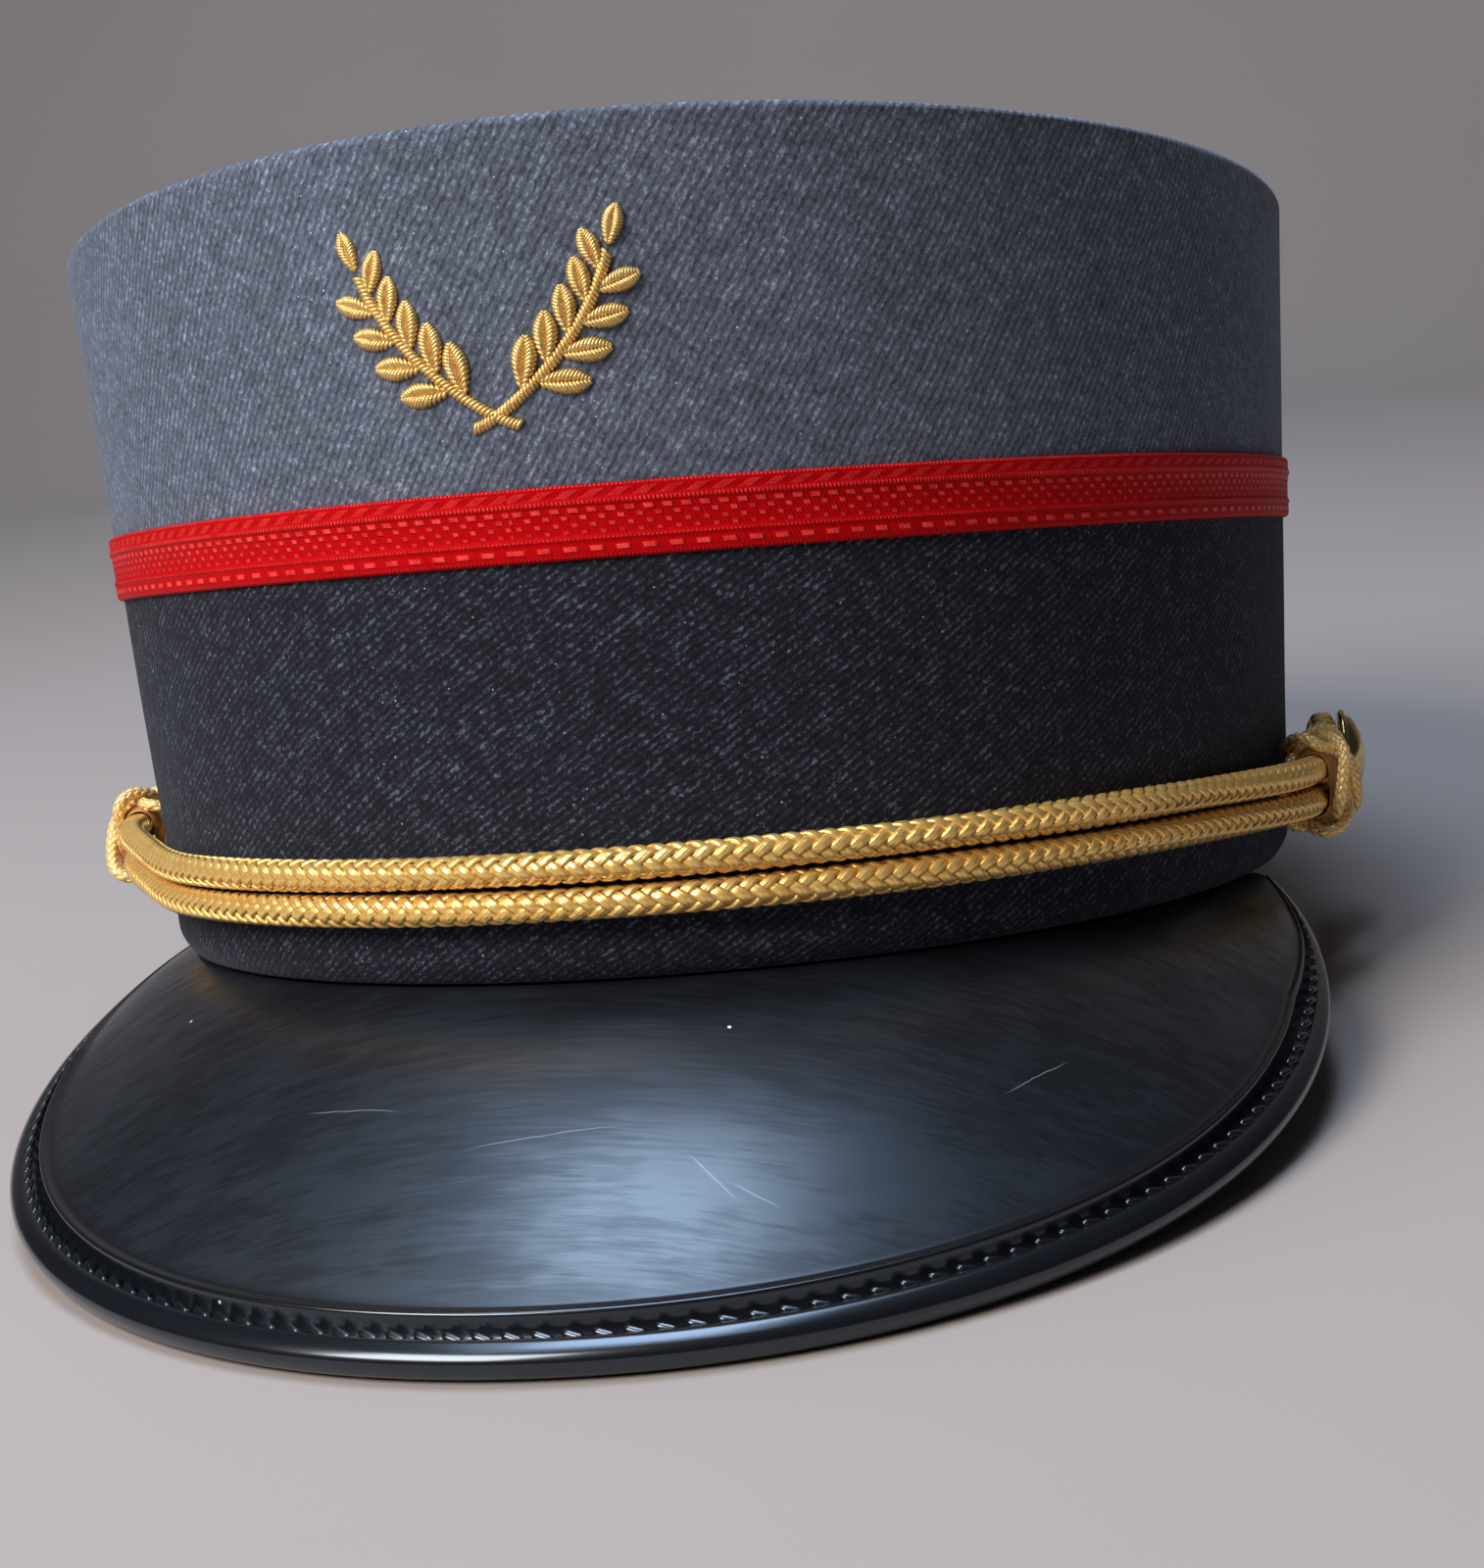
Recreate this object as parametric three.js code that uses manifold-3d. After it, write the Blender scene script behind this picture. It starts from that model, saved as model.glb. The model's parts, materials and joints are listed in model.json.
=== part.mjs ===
import * as THREE from 'three';
import { LoftGeometry } from 'three/addons/geometries/LoftGeometry.js';
import { mergeVertices } from 'three/addons/utils/BufferGeometryUtils.js';
import Module from 'manifold-3d';

// A kepi cap in millimetres. The cap's own frame has its origin in the middle of the rim plane,
// +Z up the crown and -Y to the front. A turn is an angle round the crown, 0 at the front.
// The outer group tips the cap back until its peak and its rear rim both stand on z = 0.

// Driving dimensions
const clearance = 0.3; // between pieces that touch
const cordPlay = 0.5; // round the cord, in the knots and at the shanks
const rimHalfLength = 102;
const rimHalfWidth = 83;
const crownHeight = 95; // from the rim plane to the top plane, above the origin
const frontLean = 15.2; // how far the wall leans out over that height
const sideLean = 4.9;
const rearLean = 6;
const topFall = 0.0433; // fall of the top plane for each mm towards the rear
const topSideRise = 0.008; // its rise for each mm towards +X
const clothThickness = 2.2;
const topThickness = 2;
const topSunk = 2.5; // top panel's face below the top edge
const rimTurnedIn = 2; // the rim's edge curves in by this much
const rimTurnedHeight = 4;
const braidHeight = 8.6;
const braidThickness = 0.8;
const braidLevel = 54.6; // its middle above the rim plane
const braidSideFall = 0.006; // its fall for each mm towards +X
const cordDiameter = 4.2;
const cordLevel = 12.3; // middle of the two runs, across the front
const knotLength = 11;
const knotThickness = 2.5;
const buttonDiameter = 14;
const buttonDome = 3.8;
const buttonLip = 0.9;
const shankDiameter = 4.4;
const peakTurn = THREE.MathUtils.degToRad(77); // its corners, each side of the front
const peakReach = 44.5; // level distance from the rim to its edge, at the front
const peakEndReach = 3;
const peakReachPower = 2.15;
const peakSlope = THREE.MathUtils.degToRad(38);
const peakEndSlope = THREE.MathUtils.degToRad(30);
const peakBulge = 0.055; // rise of its curved plate above a straight one, as a share of the reach
const peakThickness = { middle: 2.2, end: 1.4 };
const beadRadius = { middle: 2.1, end: 0.7 };
const flangeHeight = 8;
const flangeThickness = 1.4;
const restFlat = 0.4; // how deep the rear rim is pressed flat where the cap stands

// Where the cord's knots and the side buttons sit: turns in degrees, levels above the rim.
const cordEnds = [
  { name: 'left', side: -1, knotTurn: 75, knotLevel: 15, buttonTurn: 92, buttonLevel: 16.5 },
  { name: 'right', side: 1, knotTurn: 83, knotLevel: 11.4, buttonTurn: 95, buttonLevel: 13.2 },
];

// Facets round the crown, along the peak, along the cord and round small pieces
const wallFacets = 96;
const peakFacets = 48;
const cordFacets = 140;
const smallFacets = 24;
const cordSides = 8;

const cordRadius = cordDiameter / 2;
const cordSpacing = cordDiameter + clearance;
const cordRest = clearance + cordRadius;
const cordLift = clearance + knotThickness + cordPlay + cordRadius;

// A point of the crown's wall: an ellipse whose half axes grow with height.
function wallPoint(turn, height, offset = 0) {
  const rise = height / crownHeight;
  const lean = Math.cos(turn) > 0 ? frontLean : rearLean;
  const halfLength = rimHalfLength + lean * rise + offset;
  const halfWidth = rimHalfWidth + sideLean * rise + offset;
  return new THREE.Vector3(halfWidth * Math.sin(turn), -halfLength * Math.cos(turn), height);
}

// The level outward direction of the rim ellipse at a turn.
function wallOutward(turn) {
  return new THREE.Vector3(Math.sin(turn) / rimHalfWidth, -Math.cos(turn) / rimHalfLength, 0).normalize();
}

// The height where the wall meets a plane that lies below the sloping top plane by a depth.
function topHeight(turn, depth, offset) {
  const forward = Math.cos(turn);
  const lean = forward > 0 ? frontLean : rearLean;
  const sideways = Math.sin(turn);
  const ahead = topFall * forward * (rimHalfLength + offset);
  const aside = topSideRise * sideways * (rimHalfWidth + offset);
  const growth = (topFall * forward * lean + topSideRise * sideways * sideLean) / crownHeight;
  return (crownHeight - depth + ahead + aside) / (1 - growth);
}

function fullTurns(count) {
  return Array.from({ length: count + 1 }, (_, i) => ((i % count) / count) * 2 * Math.PI);
}

// A closed ring through one section for each turn, the first repeated as the last. A section runs
// up the outer side and down the inner one.
function ringOf(sectionAt, count) {
  return new LoftGeometry(fullTurns(count).reverse().map(sectionAt));
}

function clothMaterial(color) {
  return new THREE.MeshStandardMaterial({ color, roughness: 0.95, metalness: 0 });
}

function goldMaterial(color, roughness) {
  return new THREE.MeshStandardMaterial({ color, roughness, metalness: 0.9 });
}

const greyCloth = 0x5c6472;
const navyCloth = 0x20212a;

// Upper wall, from the middle of the braid to its rounded top edge.
function crownSide() {
  const low = braidLevel + clearance / 2;
  const edge = clothThickness / 2;
  const soft = edge * Math.SQRT1_2;
  const geometry = ringOf((turn) => {
    const rim = topHeight(turn, 0, 0) - edge;
    return [
      wallPoint(turn, low, 0),
      wallPoint(turn, rim, 0),
      wallPoint(turn, rim + soft, soft - edge),
      wallPoint(turn, rim + edge, -edge),
      wallPoint(turn, rim + soft, -soft - edge),
      wallPoint(turn, rim, -clothThickness),
      wallPoint(turn, low, -clothThickness),
    ];
  }, wallFacets);
  return new THREE.Mesh(geometry, clothMaterial(greyCloth));
}

// Flat top panel inside the upper wall, parallel to the top plane.
function crownTop() {
  const inset = -clothThickness - clearance;
  const outline = (depth) => fullTurns(wallFacets).slice(0, -1)
    .map((turn) => wallPoint(turn, topHeight(turn, depth, inset), inset));
  const sections = [outline(topSunk + topThickness), outline(topSunk)];
  const geometry = new LoftGeometry(sections, { capStart: true, capEnd: true });
  return new THREE.Mesh(geometry, clothMaterial(greyCloth));
}

// Lower wall, from the rim's turned-in edge to the middle of the braid.
function band() {
  const high = braidLevel - clearance / 2;
  const turnedIn = (share) => -rimTurnedIn * (1 - share) ** 2;
  const lowShares = [0, 0.25, 0.55, 1];
  const geometry = ringOf((turn) => [
    ...lowShares.map((share) => wallPoint(turn, share * rimTurnedHeight, turnedIn(share))),
    wallPoint(turn, high, 0),
    wallPoint(turn, high, -clothThickness),
    ...lowShares.toReversed().map((share) => (
      wallPoint(turn, share * rimTurnedHeight, turnedIn(share) - clothThickness))),
  ], wallFacets);
  return new THREE.Mesh(geometry, clothMaterial(navyCloth));
}

// Woven braid round the seam of the two walls.
function braid() {
  const bevel = braidThickness / 2;
  const face = clearance + braidThickness;
  const geometry = ringOf((turn) => {
    const level = braidLevel - braidSideFall * rimHalfWidth * Math.sin(turn);
    const low = level - braidHeight / 2;
    const high = level + braidHeight / 2;
    return [
      wallPoint(turn, low, clearance),
      wallPoint(turn, low, face - bevel),
      wallPoint(turn, low + bevel, face),
      wallPoint(turn, high - bevel, face),
      wallPoint(turn, high, face - bevel),
      wallPoint(turn, high, clearance),
    ];
  }, wallFacets);
  const material = new THREE.MeshStandardMaterial({ color: 0xc0101a, roughness: 0.55, metalness: 0 });
  return new THREE.Mesh(geometry, material);
}

// One section of the peak at a station from -1 to 1: the sewing flange inside the band, the curved
// plate, and the bead round its edge.
function peakSection(station) {
  const turn = station * peakTurn;
  const fade = Math.abs(station);
  const outward = wallOutward(turn);
  const root = wallPoint(turn, 0, -rimTurnedIn);
  const thickness = THREE.MathUtils.lerp(peakThickness.middle, peakThickness.end, fade ** 4);
  const bead = THREE.MathUtils.lerp(beadRadius.middle, beadRadius.end, fade ** 4);
  const reach = peakEndReach + (peakReach - peakEndReach) * (1 - fade ** peakReachPower);
  const drop = reach * Math.tan(THREE.MathUtils.lerp(peakSlope, peakEndSlope, fade ** 4));
  const rise = 4 * peakBulge * reach;
  const place = (out, up) => root.clone().addScaledVector(outward, out).setZ(up);
  const plate = (share, depth) => {
    const slope = Math.atan2(drop - rise * (1 - 2 * share), reach);
    const out = reach * share - depth * Math.sin(slope);
    const up = -clearance - drop * share + rise * share * (1 - share) - depth * Math.cos(slope);
    return { out, up, slope };
  };
  const length = Math.hypot(reach, drop);
  const plateEnd = 1 - (1.8 * bead) / length;
  const shares = [0, 0.25, 0.5, 0.75, 1].map((share) => share * plateEnd);
  const top = shares.map((share) => plate(share, 0));
  const under = shares.toReversed().map((share) => plate(share, thickness));
  const centre = plate(1 - bead / length, thickness / 2);
  const edge = [135, 90, 45, 0, -45, -90, -135].map((degrees) => {
    const angle = THREE.MathUtils.degToRad(degrees) - centre.slope;
    return { out: centre.out + bead * Math.cos(angle), up: centre.up + bead * Math.sin(angle) };
  });
  const flangeOut = -rimTurnedIn - clothThickness - clearance;
  const flangeIn = flangeOut - flangeThickness;
  return [
    wallPoint(turn, flangeHeight, flangeIn),
    wallPoint(turn, flangeHeight, flangeOut),
    wallPoint(turn, -clearance, flangeOut),
    ...[...top, ...edge, ...under].map(({ out, up }) => place(out, up)),
    wallPoint(turn, -clearance - thickness, flangeIn),
  ];
}

function peak() {
  const stations = Array.from({ length: peakFacets + 1 }, (_, i) => (2 * i) / peakFacets - 1);
  const sections = stations.map(peakSection);
  const geometry = new LoftGeometry(sections, { capStart: true, capEnd: true });
  const material = new THREE.MeshStandardMaterial({ color: 0x0b0c10, roughness: 0.2, metalness: 0 });
  return new THREE.Mesh(geometry, material);
}

// The cord's middle line at a turn: level across the front and lying on the cloth, then lifted by
// the knot that wraps it, and level with the button at its end.
function cordLine(turn, end) {
  const degrees = THREE.MathUtils.radToDeg(Math.abs(turn));
  const knotHalf = THREE.MathUtils.radToDeg(knotLength / 2 / rimHalfLength);
  const { lerp, smoothstep } = THREE.MathUtils;
  const toKnot = smoothstep(degrees, end.knotTurn * 0.55, end.knotTurn);
  const toButton = smoothstep(degrees, end.knotTurn + knotHalf, end.buttonTurn);
  const lifted = smoothstep(degrees, end.knotTurn * 0.7, end.knotTurn * 0.95);
  return {
    level: lerp(lerp(cordLevel, end.knotLevel, toKnot), end.buttonLevel, toButton),
    offset: lerp(cordRest, cordLift, lifted),
  };
}

// The chin cord's loop: for each side a run out from the front, a turn round the shank, and back.
function chinCord() {
  const runSteps = 16;
  const turnSteps = 6;
  const loopRadius = shankDiameter / 2 + cordPlay + cordRadius;
  const points = [];
  for (const end of cordEnds) {
    const knotEnd = THREE.MathUtils.degToRad(end.knotTurn) + knotLength / rimHalfLength;
    const buttonTurn = THREE.MathUtils.degToRad(end.buttonTurn);
    const onWall = (angle, up) => {
      const { level, offset } = cordLine(angle, end);
      return wallPoint(end.side * angle, level + end.side * up, offset);
    };
    const runTurns = Array.from({ length: runSteps }, (_, i) => (knotEnd * (i + 0.5)) / (runSteps - 0.5));
    const roundAngles = Array.from({ length: turnSteps + 1 }, (_, i) => Math.PI * (0.5 - i / turnSteps));
    points.push(...runTurns.map((angle) => onWall(angle, cordSpacing / 2)));
    points.push(...roundAngles.map((angle) => onWall(
      buttonTurn + (loopRadius * Math.cos(angle)) / rimHalfLength, loopRadius * Math.sin(angle))));
    points.push(...runTurns.toReversed().map((angle) => onWall(angle, -cordSpacing / 2)));
  }
  const route = new THREE.CatmullRomCurve3(points, true, 'centripetal');
  const geometry = new THREE.TubeGeometry(route, cordFacets, cordRadius, cordSides, true);
  return new THREE.Mesh(geometry, goldMaterial(0xc8932c, 0.4));
}

// Places a mesh on the wall: its X along the wall, its Y outward and its Z up.
function setOnWall(mesh, turn, level, offset) {
  const outward = wallOutward(turn);
  const up = new THREE.Vector3(0, 0, 1);
  const along = new THREE.Vector3().crossVectors(outward, up);
  mesh.quaternion.setFromRotationMatrix(new THREE.Matrix4().makeBasis(along, outward, up));
  mesh.position.copy(wallPoint(turn, level, 0)).addScaledVector(outward, offset);
  return mesh;
}

// A sliding knot: a barrel-shaped collar round both runs of the cord.
function knot(end) {
  const hole = cordRadius + cordPlay;
  const profile = [
    { along: -0.5, thick: 0 },
    { along: -0.5, thick: 0.55 },
    { along: -0.25, thick: 1 },
    { along: 0.25, thick: 1 },
    { along: 0.5, thick: 0.55 },
    { along: 0.5, thick: 0 },
  ];
  const geometry = ringOf((angle) => {
    const middle = (Math.sign(Math.sin(angle + 1e-9)) * cordSpacing) / 2;
    return profile.map(({ along, thick }) => {
      const radius = hole + thick * knotThickness;
      return new THREE.Vector3(
        along * knotLength, radius * Math.cos(angle), middle + radius * Math.sin(angle),
      );
    });
  }, smallFacets);
  const mesh = new THREE.Mesh(geometry, goldMaterial(0xd6a243, 0.35));
  return setOnWall(mesh, end.side * THREE.MathUtils.degToRad(end.knotTurn), end.knotLevel, cordLift);
}

// A domed side button on its shank.
function button(end) {
  const radius = buttonDiameter / 2;
  const underside = cordLift + cordRadius + cordPlay;
  const domeSteps = 6;
  const rise = buttonDome - buttonLip;
  const dome = Array.from({ length: domeSteps + 1 }, (_, i) => {
    const angle = (i / domeSteps) * (Math.PI / 2);
    return new THREE.Vector2(radius * Math.cos(angle), underside + buttonLip + rise * Math.sin(angle));
  });
  const profile = [
    new THREE.Vector2(0, clearance),
    new THREE.Vector2(shankDiameter / 2, clearance),
    new THREE.Vector2(shankDiameter / 2, underside),
    new THREE.Vector2(radius, underside),
    ...dome,
  ];
  profile[profile.length - 1].x = 0;
  const geometry = new THREE.LatheGeometry(profile, smallFacets);
  const mesh = new THREE.Mesh(geometry, goldMaterial(0xb08b3a, 0.2));
  return setOnWall(mesh, end.side * THREE.MathUtils.degToRad(end.buttonTurn), end.buttonLevel, 0);
}

const pieces = {
  crown_top: crownTop(),
  crown_side: crownSide(),
  band: band(),
  braid: braid(),
  peak: peak(),
  chin_cord: chinCord(),
};
for (const end of cordEnds) {
  pieces[`knot_${end.name}`] = knot(end);
  pieces[`button_${end.name}`] = button(end);
}

// A geometry's points and triangles alone, with shared points merged.
function bareCopy(geometry) {
  const bare = new THREE.BufferGeometry();
  bare.setAttribute('position', geometry.getAttribute('position').clone());
  bare.setIndex(geometry.getIndex().clone());
  return mergeVertices(bare, 1e-3);
}

// The level of a geometry's lowest point once the cap is tipped back by an angle.
function lowestLevel(geometry, tip) {
  const turned = bareCopy(geometry).rotateX(-tip);
  turned.computeBoundingBox();
  return turned.boundingBox.min.z;
}

// The tip at which the peak's edge and the flattened rear rim stand on one level.
function restingTip() {
  let low = 0;
  let high = Math.PI / 8;
  for (let i = 0; i < 40; i += 1) {
    const tip = (low + high) / 2;
    const peakStands = lowestLevel(pieces.peak.geometry, tip);
    const rimStands = lowestLevel(pieces.band.geometry, tip) + restFlat;
    if (peakStands < rimStands) low = tip;
    else high = tip;
  }
  return (low + high) / 2;
}

const wasm = await Module();
wasm.setup();

function solidFrom(geometry) {
  const bare = bareCopy(geometry);
  return new wasm.Manifold(new wasm.Mesh({
    numProp: 3,
    vertProperties: bare.getAttribute('position').array,
    triVerts: new Uint32Array(bare.getIndex().array),
  }));
}

function geometryFrom(solid) {
  const { vertProperties, triVerts } = solid.getMesh();
  const geometry = new THREE.BufferGeometry();
  geometry.setAttribute('position', new THREE.BufferAttribute(vertProperties, 3));
  geometry.setIndex(new THREE.BufferAttribute(triVerts, 1));
  geometry.computeVertexNormals();
  return geometry;
}

// The band's rear rim is pressed flat where it stands on the surface.
const tip = restingTip();
const standing = lowestLevel(pieces.peak.geometry, tip);
const surfaceSize = 4 * rimHalfLength;
const belowSurface = new THREE.BoxGeometry(surfaceSize, surfaceSize, surfaceSize)
  .translate(0, 0, standing - surfaceSize / 2)
  .rotateX(tip);
pieces.band.geometry = geometryFrom(solidFrom(pieces.band.geometry).subtract(solidFrom(belowSurface)));

const tipped = new THREE.Group();
for (const [name, mesh] of Object.entries(pieces)) {
  mesh.name = name;
  tipped.add(mesh);
}
tipped.rotation.x = -tip;

const cap = new THREE.Group();
cap.add(tipped);
const box = new THREE.Box3().setFromObject(cap, true);
const middle = box.getCenter(new THREE.Vector3());
tipped.position.set(-middle.x, -middle.y, -box.min.z);

export default cap;
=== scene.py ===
import bmesh
import bpy
import json
import math
import numpy as np
from mathutils import Matrix, Vector


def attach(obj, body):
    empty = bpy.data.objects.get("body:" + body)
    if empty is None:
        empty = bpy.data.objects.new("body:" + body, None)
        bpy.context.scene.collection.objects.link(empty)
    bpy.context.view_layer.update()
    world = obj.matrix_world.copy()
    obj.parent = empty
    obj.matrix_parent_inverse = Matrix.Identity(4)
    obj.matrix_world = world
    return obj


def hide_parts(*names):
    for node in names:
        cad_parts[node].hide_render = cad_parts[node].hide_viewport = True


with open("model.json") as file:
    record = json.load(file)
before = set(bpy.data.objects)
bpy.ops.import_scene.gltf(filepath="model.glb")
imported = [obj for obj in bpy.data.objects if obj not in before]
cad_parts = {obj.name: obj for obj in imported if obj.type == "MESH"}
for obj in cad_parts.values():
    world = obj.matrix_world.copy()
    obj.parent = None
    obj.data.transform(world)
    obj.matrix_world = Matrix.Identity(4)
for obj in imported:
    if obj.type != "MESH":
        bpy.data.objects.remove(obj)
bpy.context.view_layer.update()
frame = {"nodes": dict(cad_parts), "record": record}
print("frame loaded:", ", ".join(sorted(frame["nodes"])))

# Shapes are worked out in millimetres in the cap's own frame: origin in the middle of the rim plane,
# -Y to the front, +Z up the crown. A turn is an angle round the crown, 0 at the front, + towards +X.
capSize = {
    "rimHalfLength": 102.0,
    "rimHalfWidth": 83.0,
    "crownHeight": 95.0,
    "frontLean": 15.2,     # how far the wall leans out over that height
    "sideLean": 4.9,
    "rearLean": 6.0,
    "topFall": 0.0433,     # fall of the top for each mm towards the rear
    "topSideRise": 0.008,
    "topSunk": 2.5,        # top panel's face below the top edge
    "topThickness": 2.0,
    "fit": 0.05,           # play of the top panel, and of the rim over the ground
    "seamGap": 0.15,       # from the braid's middle to each wall's edge under it
    "cloth": 2.2,          # thickness of the stiffened cloth
    "braidLevel": 54.6,
    "braidSideFall": 0.006,
    "rimTurnedIn": 2.0,
    "rimTurnedHeight": 4.0,
}

topMount = next(m for m in frame["record"]["mounts"] if m["name"] == "top_panel")
tip = math.atan2(topMount["axis"][1], topMount["axis"][2]) - math.atan(capSize["topFall"])
tipRows = np.array([[1, 0, 0], [0, math.cos(tip), math.sin(tip)], [0, -math.sin(tip), math.cos(tip)]])
topMiddle = np.array([0, 0, capSize["crownHeight"] - capSize["topSunk"]])
seatOrigin = np.array(topMount["pos_m"]) * 1000 - tipRows @ topMiddle


# From the cap's millimetres to the frame's metres: tipped back about X, then moved to where it stands.
def seat(points):
    return (points @ tipRows.T + seatOrigin) / 1000


def lerp(low, high, share):
    return low + (high - low) * share


def smoothStep(value, low, high):
    share = np.clip((value - low) / (high - low), 0, 1)
    return share * share * (3 - 2 * share)


# Wall of the crown: an ellipse round the head whose half axes grow with height, plus an offset outward.
def wallPoint(turn, height, offset=0.0):
    rise = height / capSize["crownHeight"]
    lean = np.where(np.cos(turn) > 0, capSize["frontLean"], capSize["rearLean"])
    x = (capSize["rimHalfWidth"] + capSize["sideLean"] * rise + offset) * np.sin(turn)
    y = -(capSize["rimHalfLength"] + lean * rise + offset) * np.cos(turn)
    return np.stack(np.broadcast_arrays(x, y, height), axis=-1)


# Level outward direction of the rim ellipse: the gradient of the ellipse, brought to length 1.
def wallOutward(turn):
    x = np.sin(turn) / capSize["rimHalfWidth"]
    y = -np.cos(turn) / capSize["rimHalfLength"]
    size = np.hypot(x, y)
    return np.stack(np.broadcast_arrays(x / size, y / size, 0.0), axis=-1)


# Height where the wall meets a plane that lies below the sloping top by a depth.
def topHeight(turn, depth=0.0, offset=0.0):
    forward, sideways = np.cos(turn), np.sin(turn)
    lean = np.where(forward > 0, capSize["frontLean"], capSize["rearLean"])
    ahead = capSize["topFall"] * forward * (capSize["rimHalfLength"] + offset)
    aside = capSize["topSideRise"] * sideways * (capSize["rimHalfWidth"] + offset)
    growth = capSize["topFall"] * forward * lean + capSize["topSideRise"] * sideways * capSize["sideLean"]
    return (capSize["crownHeight"] - depth + ahead + aside) / (1 - growth / capSize["crownHeight"])


# Length along a line of points, from 0 at the first.
def lineLength(points):
    steps = np.linalg.norm(np.diff(points, axis=0), axis=1)
    return np.concatenate([[0.0], np.cumsum(steps)])


# Slow unevenness of stiffened cloth: a few sine waves round the crown and up it.
def clothWaver(turn, height, size):
    waves = np.sin(2 * turn + 0.6 + height * 0.03) + 0.7 * np.sin(5 * turn - height * 0.05)
    return size * (waves + 0.5 * np.sin(9 * turn + height * 0.11) + 0.3 * np.sin(17 * turn - height * 0.17))


# A piece from grids of points shaped (copies, rows, columns, 3) in the cap's millimetres. A quad joins two
# neighbouring rows and columns; a closed direction joins its last line to its first. Flat caps close the
# ends of open rows, and points that meet at a pole become one. The uv grids are in millimetres and hold one
# line more in each closed direction.
def gridPiece(name, points, uv, material, closedRows=False, closedColumns=False, capEnds=False, pressed=False,
              poles=False):
    if points.ndim == 3:
        points, uv = points[None], uv[None]
    copies, rows, columns = points.shape[:3]
    places = seat(points.reshape(-1, 3))
    if pressed:  # flattened where it stands
        places[:, 2] = np.maximum(places[:, 2], 0)
    copy, row, column = np.meshgrid(np.arange(copies), np.arange(rows - 1 + closedRows),
                                    np.arange(columns - 1 + closedColumns), indexing="ij")
    corners = [(0, 0), (1, 0), (1, 1), (0, 1)]
    quads = np.stack([(copy * rows + (row + a) % rows) * columns + (column + b) % columns
                      for a, b in corners], axis=-1).reshape(-1, 4)
    quadUv = np.stack([uv[copy, row + a, column + b] for a, b in corners], axis=-2).reshape(-1, 4, 2)
    p = places[quads]
    volume = np.einsum("ij,ij->", p[:, 0], np.cross(p[:, 1], p[:, 2]) + np.cross(p[:, 2], p[:, 3]))
    if volume < 0:
        quads, quadUv = quads[:, ::-1], quadUv[:, ::-1]
    loops, loopUv = quads.ravel(), quadUv.reshape(-1, 2)
    starts = np.arange(len(quads)) * 4
    smooth = np.ones(len(quads), bool)
    if capEnds:
        first = np.arange(copies)[:, None] * rows * columns + np.arange(columns)
        last = first[:, ::-1] + (rows - 1) * columns
        caps = np.concatenate([first, last] if volume > 0 else [first[:, ::-1], last[:, ::-1]])
        starts = np.concatenate([starts, len(loops) + np.arange(len(caps)) * columns])
        loops = np.concatenate([loops, caps.ravel()])
        loopUv = np.concatenate([loopUv, np.zeros((caps.size, 2))])
        smooth = np.concatenate([smooth, np.zeros(len(caps), bool)])
    mesh = bpy.data.meshes.new(name)
    mesh.vertices.add(len(places))
    mesh.vertices.foreach_set("co", places.astype(np.float32).ravel())
    mesh.loops.add(len(loops))
    mesh.loops.foreach_set("vertex_index", loops.astype(np.int32))
    mesh.polygons.add(len(starts))
    mesh.polygons.foreach_set("loop_start", starts.astype(np.int32))
    mesh.polygons.foreach_set("use_smooth", smooth)
    mesh.uv_layers.new(name="weave").uv.foreach_set("vector", loopUv.astype(np.float32).ravel())
    mesh.update(calc_edges=True)
    if poles:
        joined = bmesh.new()
        joined.from_mesh(mesh)
        bmesh.ops.remove_doubles(joined, verts=joined.verts, dist=1e-7)
        joined.to_mesh(mesh)
        joined.free()
    mesh.validate()
    mesh.materials.append(material)
    piece = bpy.data.objects.new(name, mesh)
    bpy.context.scene.collection.objects.link(piece)
    print(f"  {name}: {len(mesh.loops) - 2 * len(mesh.polygons)} triangles")
    return piece


# Gives a piece its body and hides the frame's node that it stands for.
def joinFrame(piece, node):
    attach(piece, "root")
    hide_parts(node)


# uv of a grid: one measure for each row and one for each column, both in millimetres.
def gridUv(alongRows, alongColumns):
    return np.stack(np.meshgrid(alongRows, alongColumns, indexing="ij"), axis=-1)


# Tubes round lines shaped (copies, rows, 3): an ellipse of two half widths, the first across the line and
# square to the given outward direction, the second along that direction.
def tubeRings(lines, outward, halfWidth, halfDepth, sides, closed):
    if closed:
        along = np.roll(lines, -1, axis=1) - np.roll(lines, 1, axis=1)
    else:
        along = np.gradient(lines, axis=1)
    across = np.cross(along, outward)
    across /= np.linalg.norm(across, axis=-1, keepdims=True)
    out = np.cross(across, along)
    out /= np.linalg.norm(out, axis=-1, keepdims=True)
    angle = np.arange(sides) / sides * 2 * np.pi
    halfWidth = np.asarray(halfWidth)[..., None, None] * np.cos(angle)[:, None]
    halfDepth = np.asarray(halfDepth)[..., None, None] * np.sin(angle)[:, None]
    return lines[:, :, None] + across[:, :, None] * halfWidth + out[:, :, None] * halfDepth


# Node helpers: plain values go on a node's sockets and settings, and sockets are linked.
def addNode(tree, kind, inputs=None, **settings):
    node = tree.nodes.new("ShaderNode" + kind)
    for key, value in settings.items():
        setattr(node, key, value)
    for key, value in (inputs or {}).items():
        if isinstance(value, bpy.types.NodeSocket):
            tree.links.new(value, node.inputs[key])
        else:
            node.inputs[key].default_value = value
    return node


def calc(tree, operation, first, second=0.0, third=0.0):
    return addNode(tree, "Math", {0: first, 1: second, 2: third}, operation=operation).outputs[0]


def mixColor(tree, share, first, second):
    node = addNode(tree, "Mix", {0: share, 6: first, 7: second}, data_type="RGBA")
    return node.outputs[2]


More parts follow.
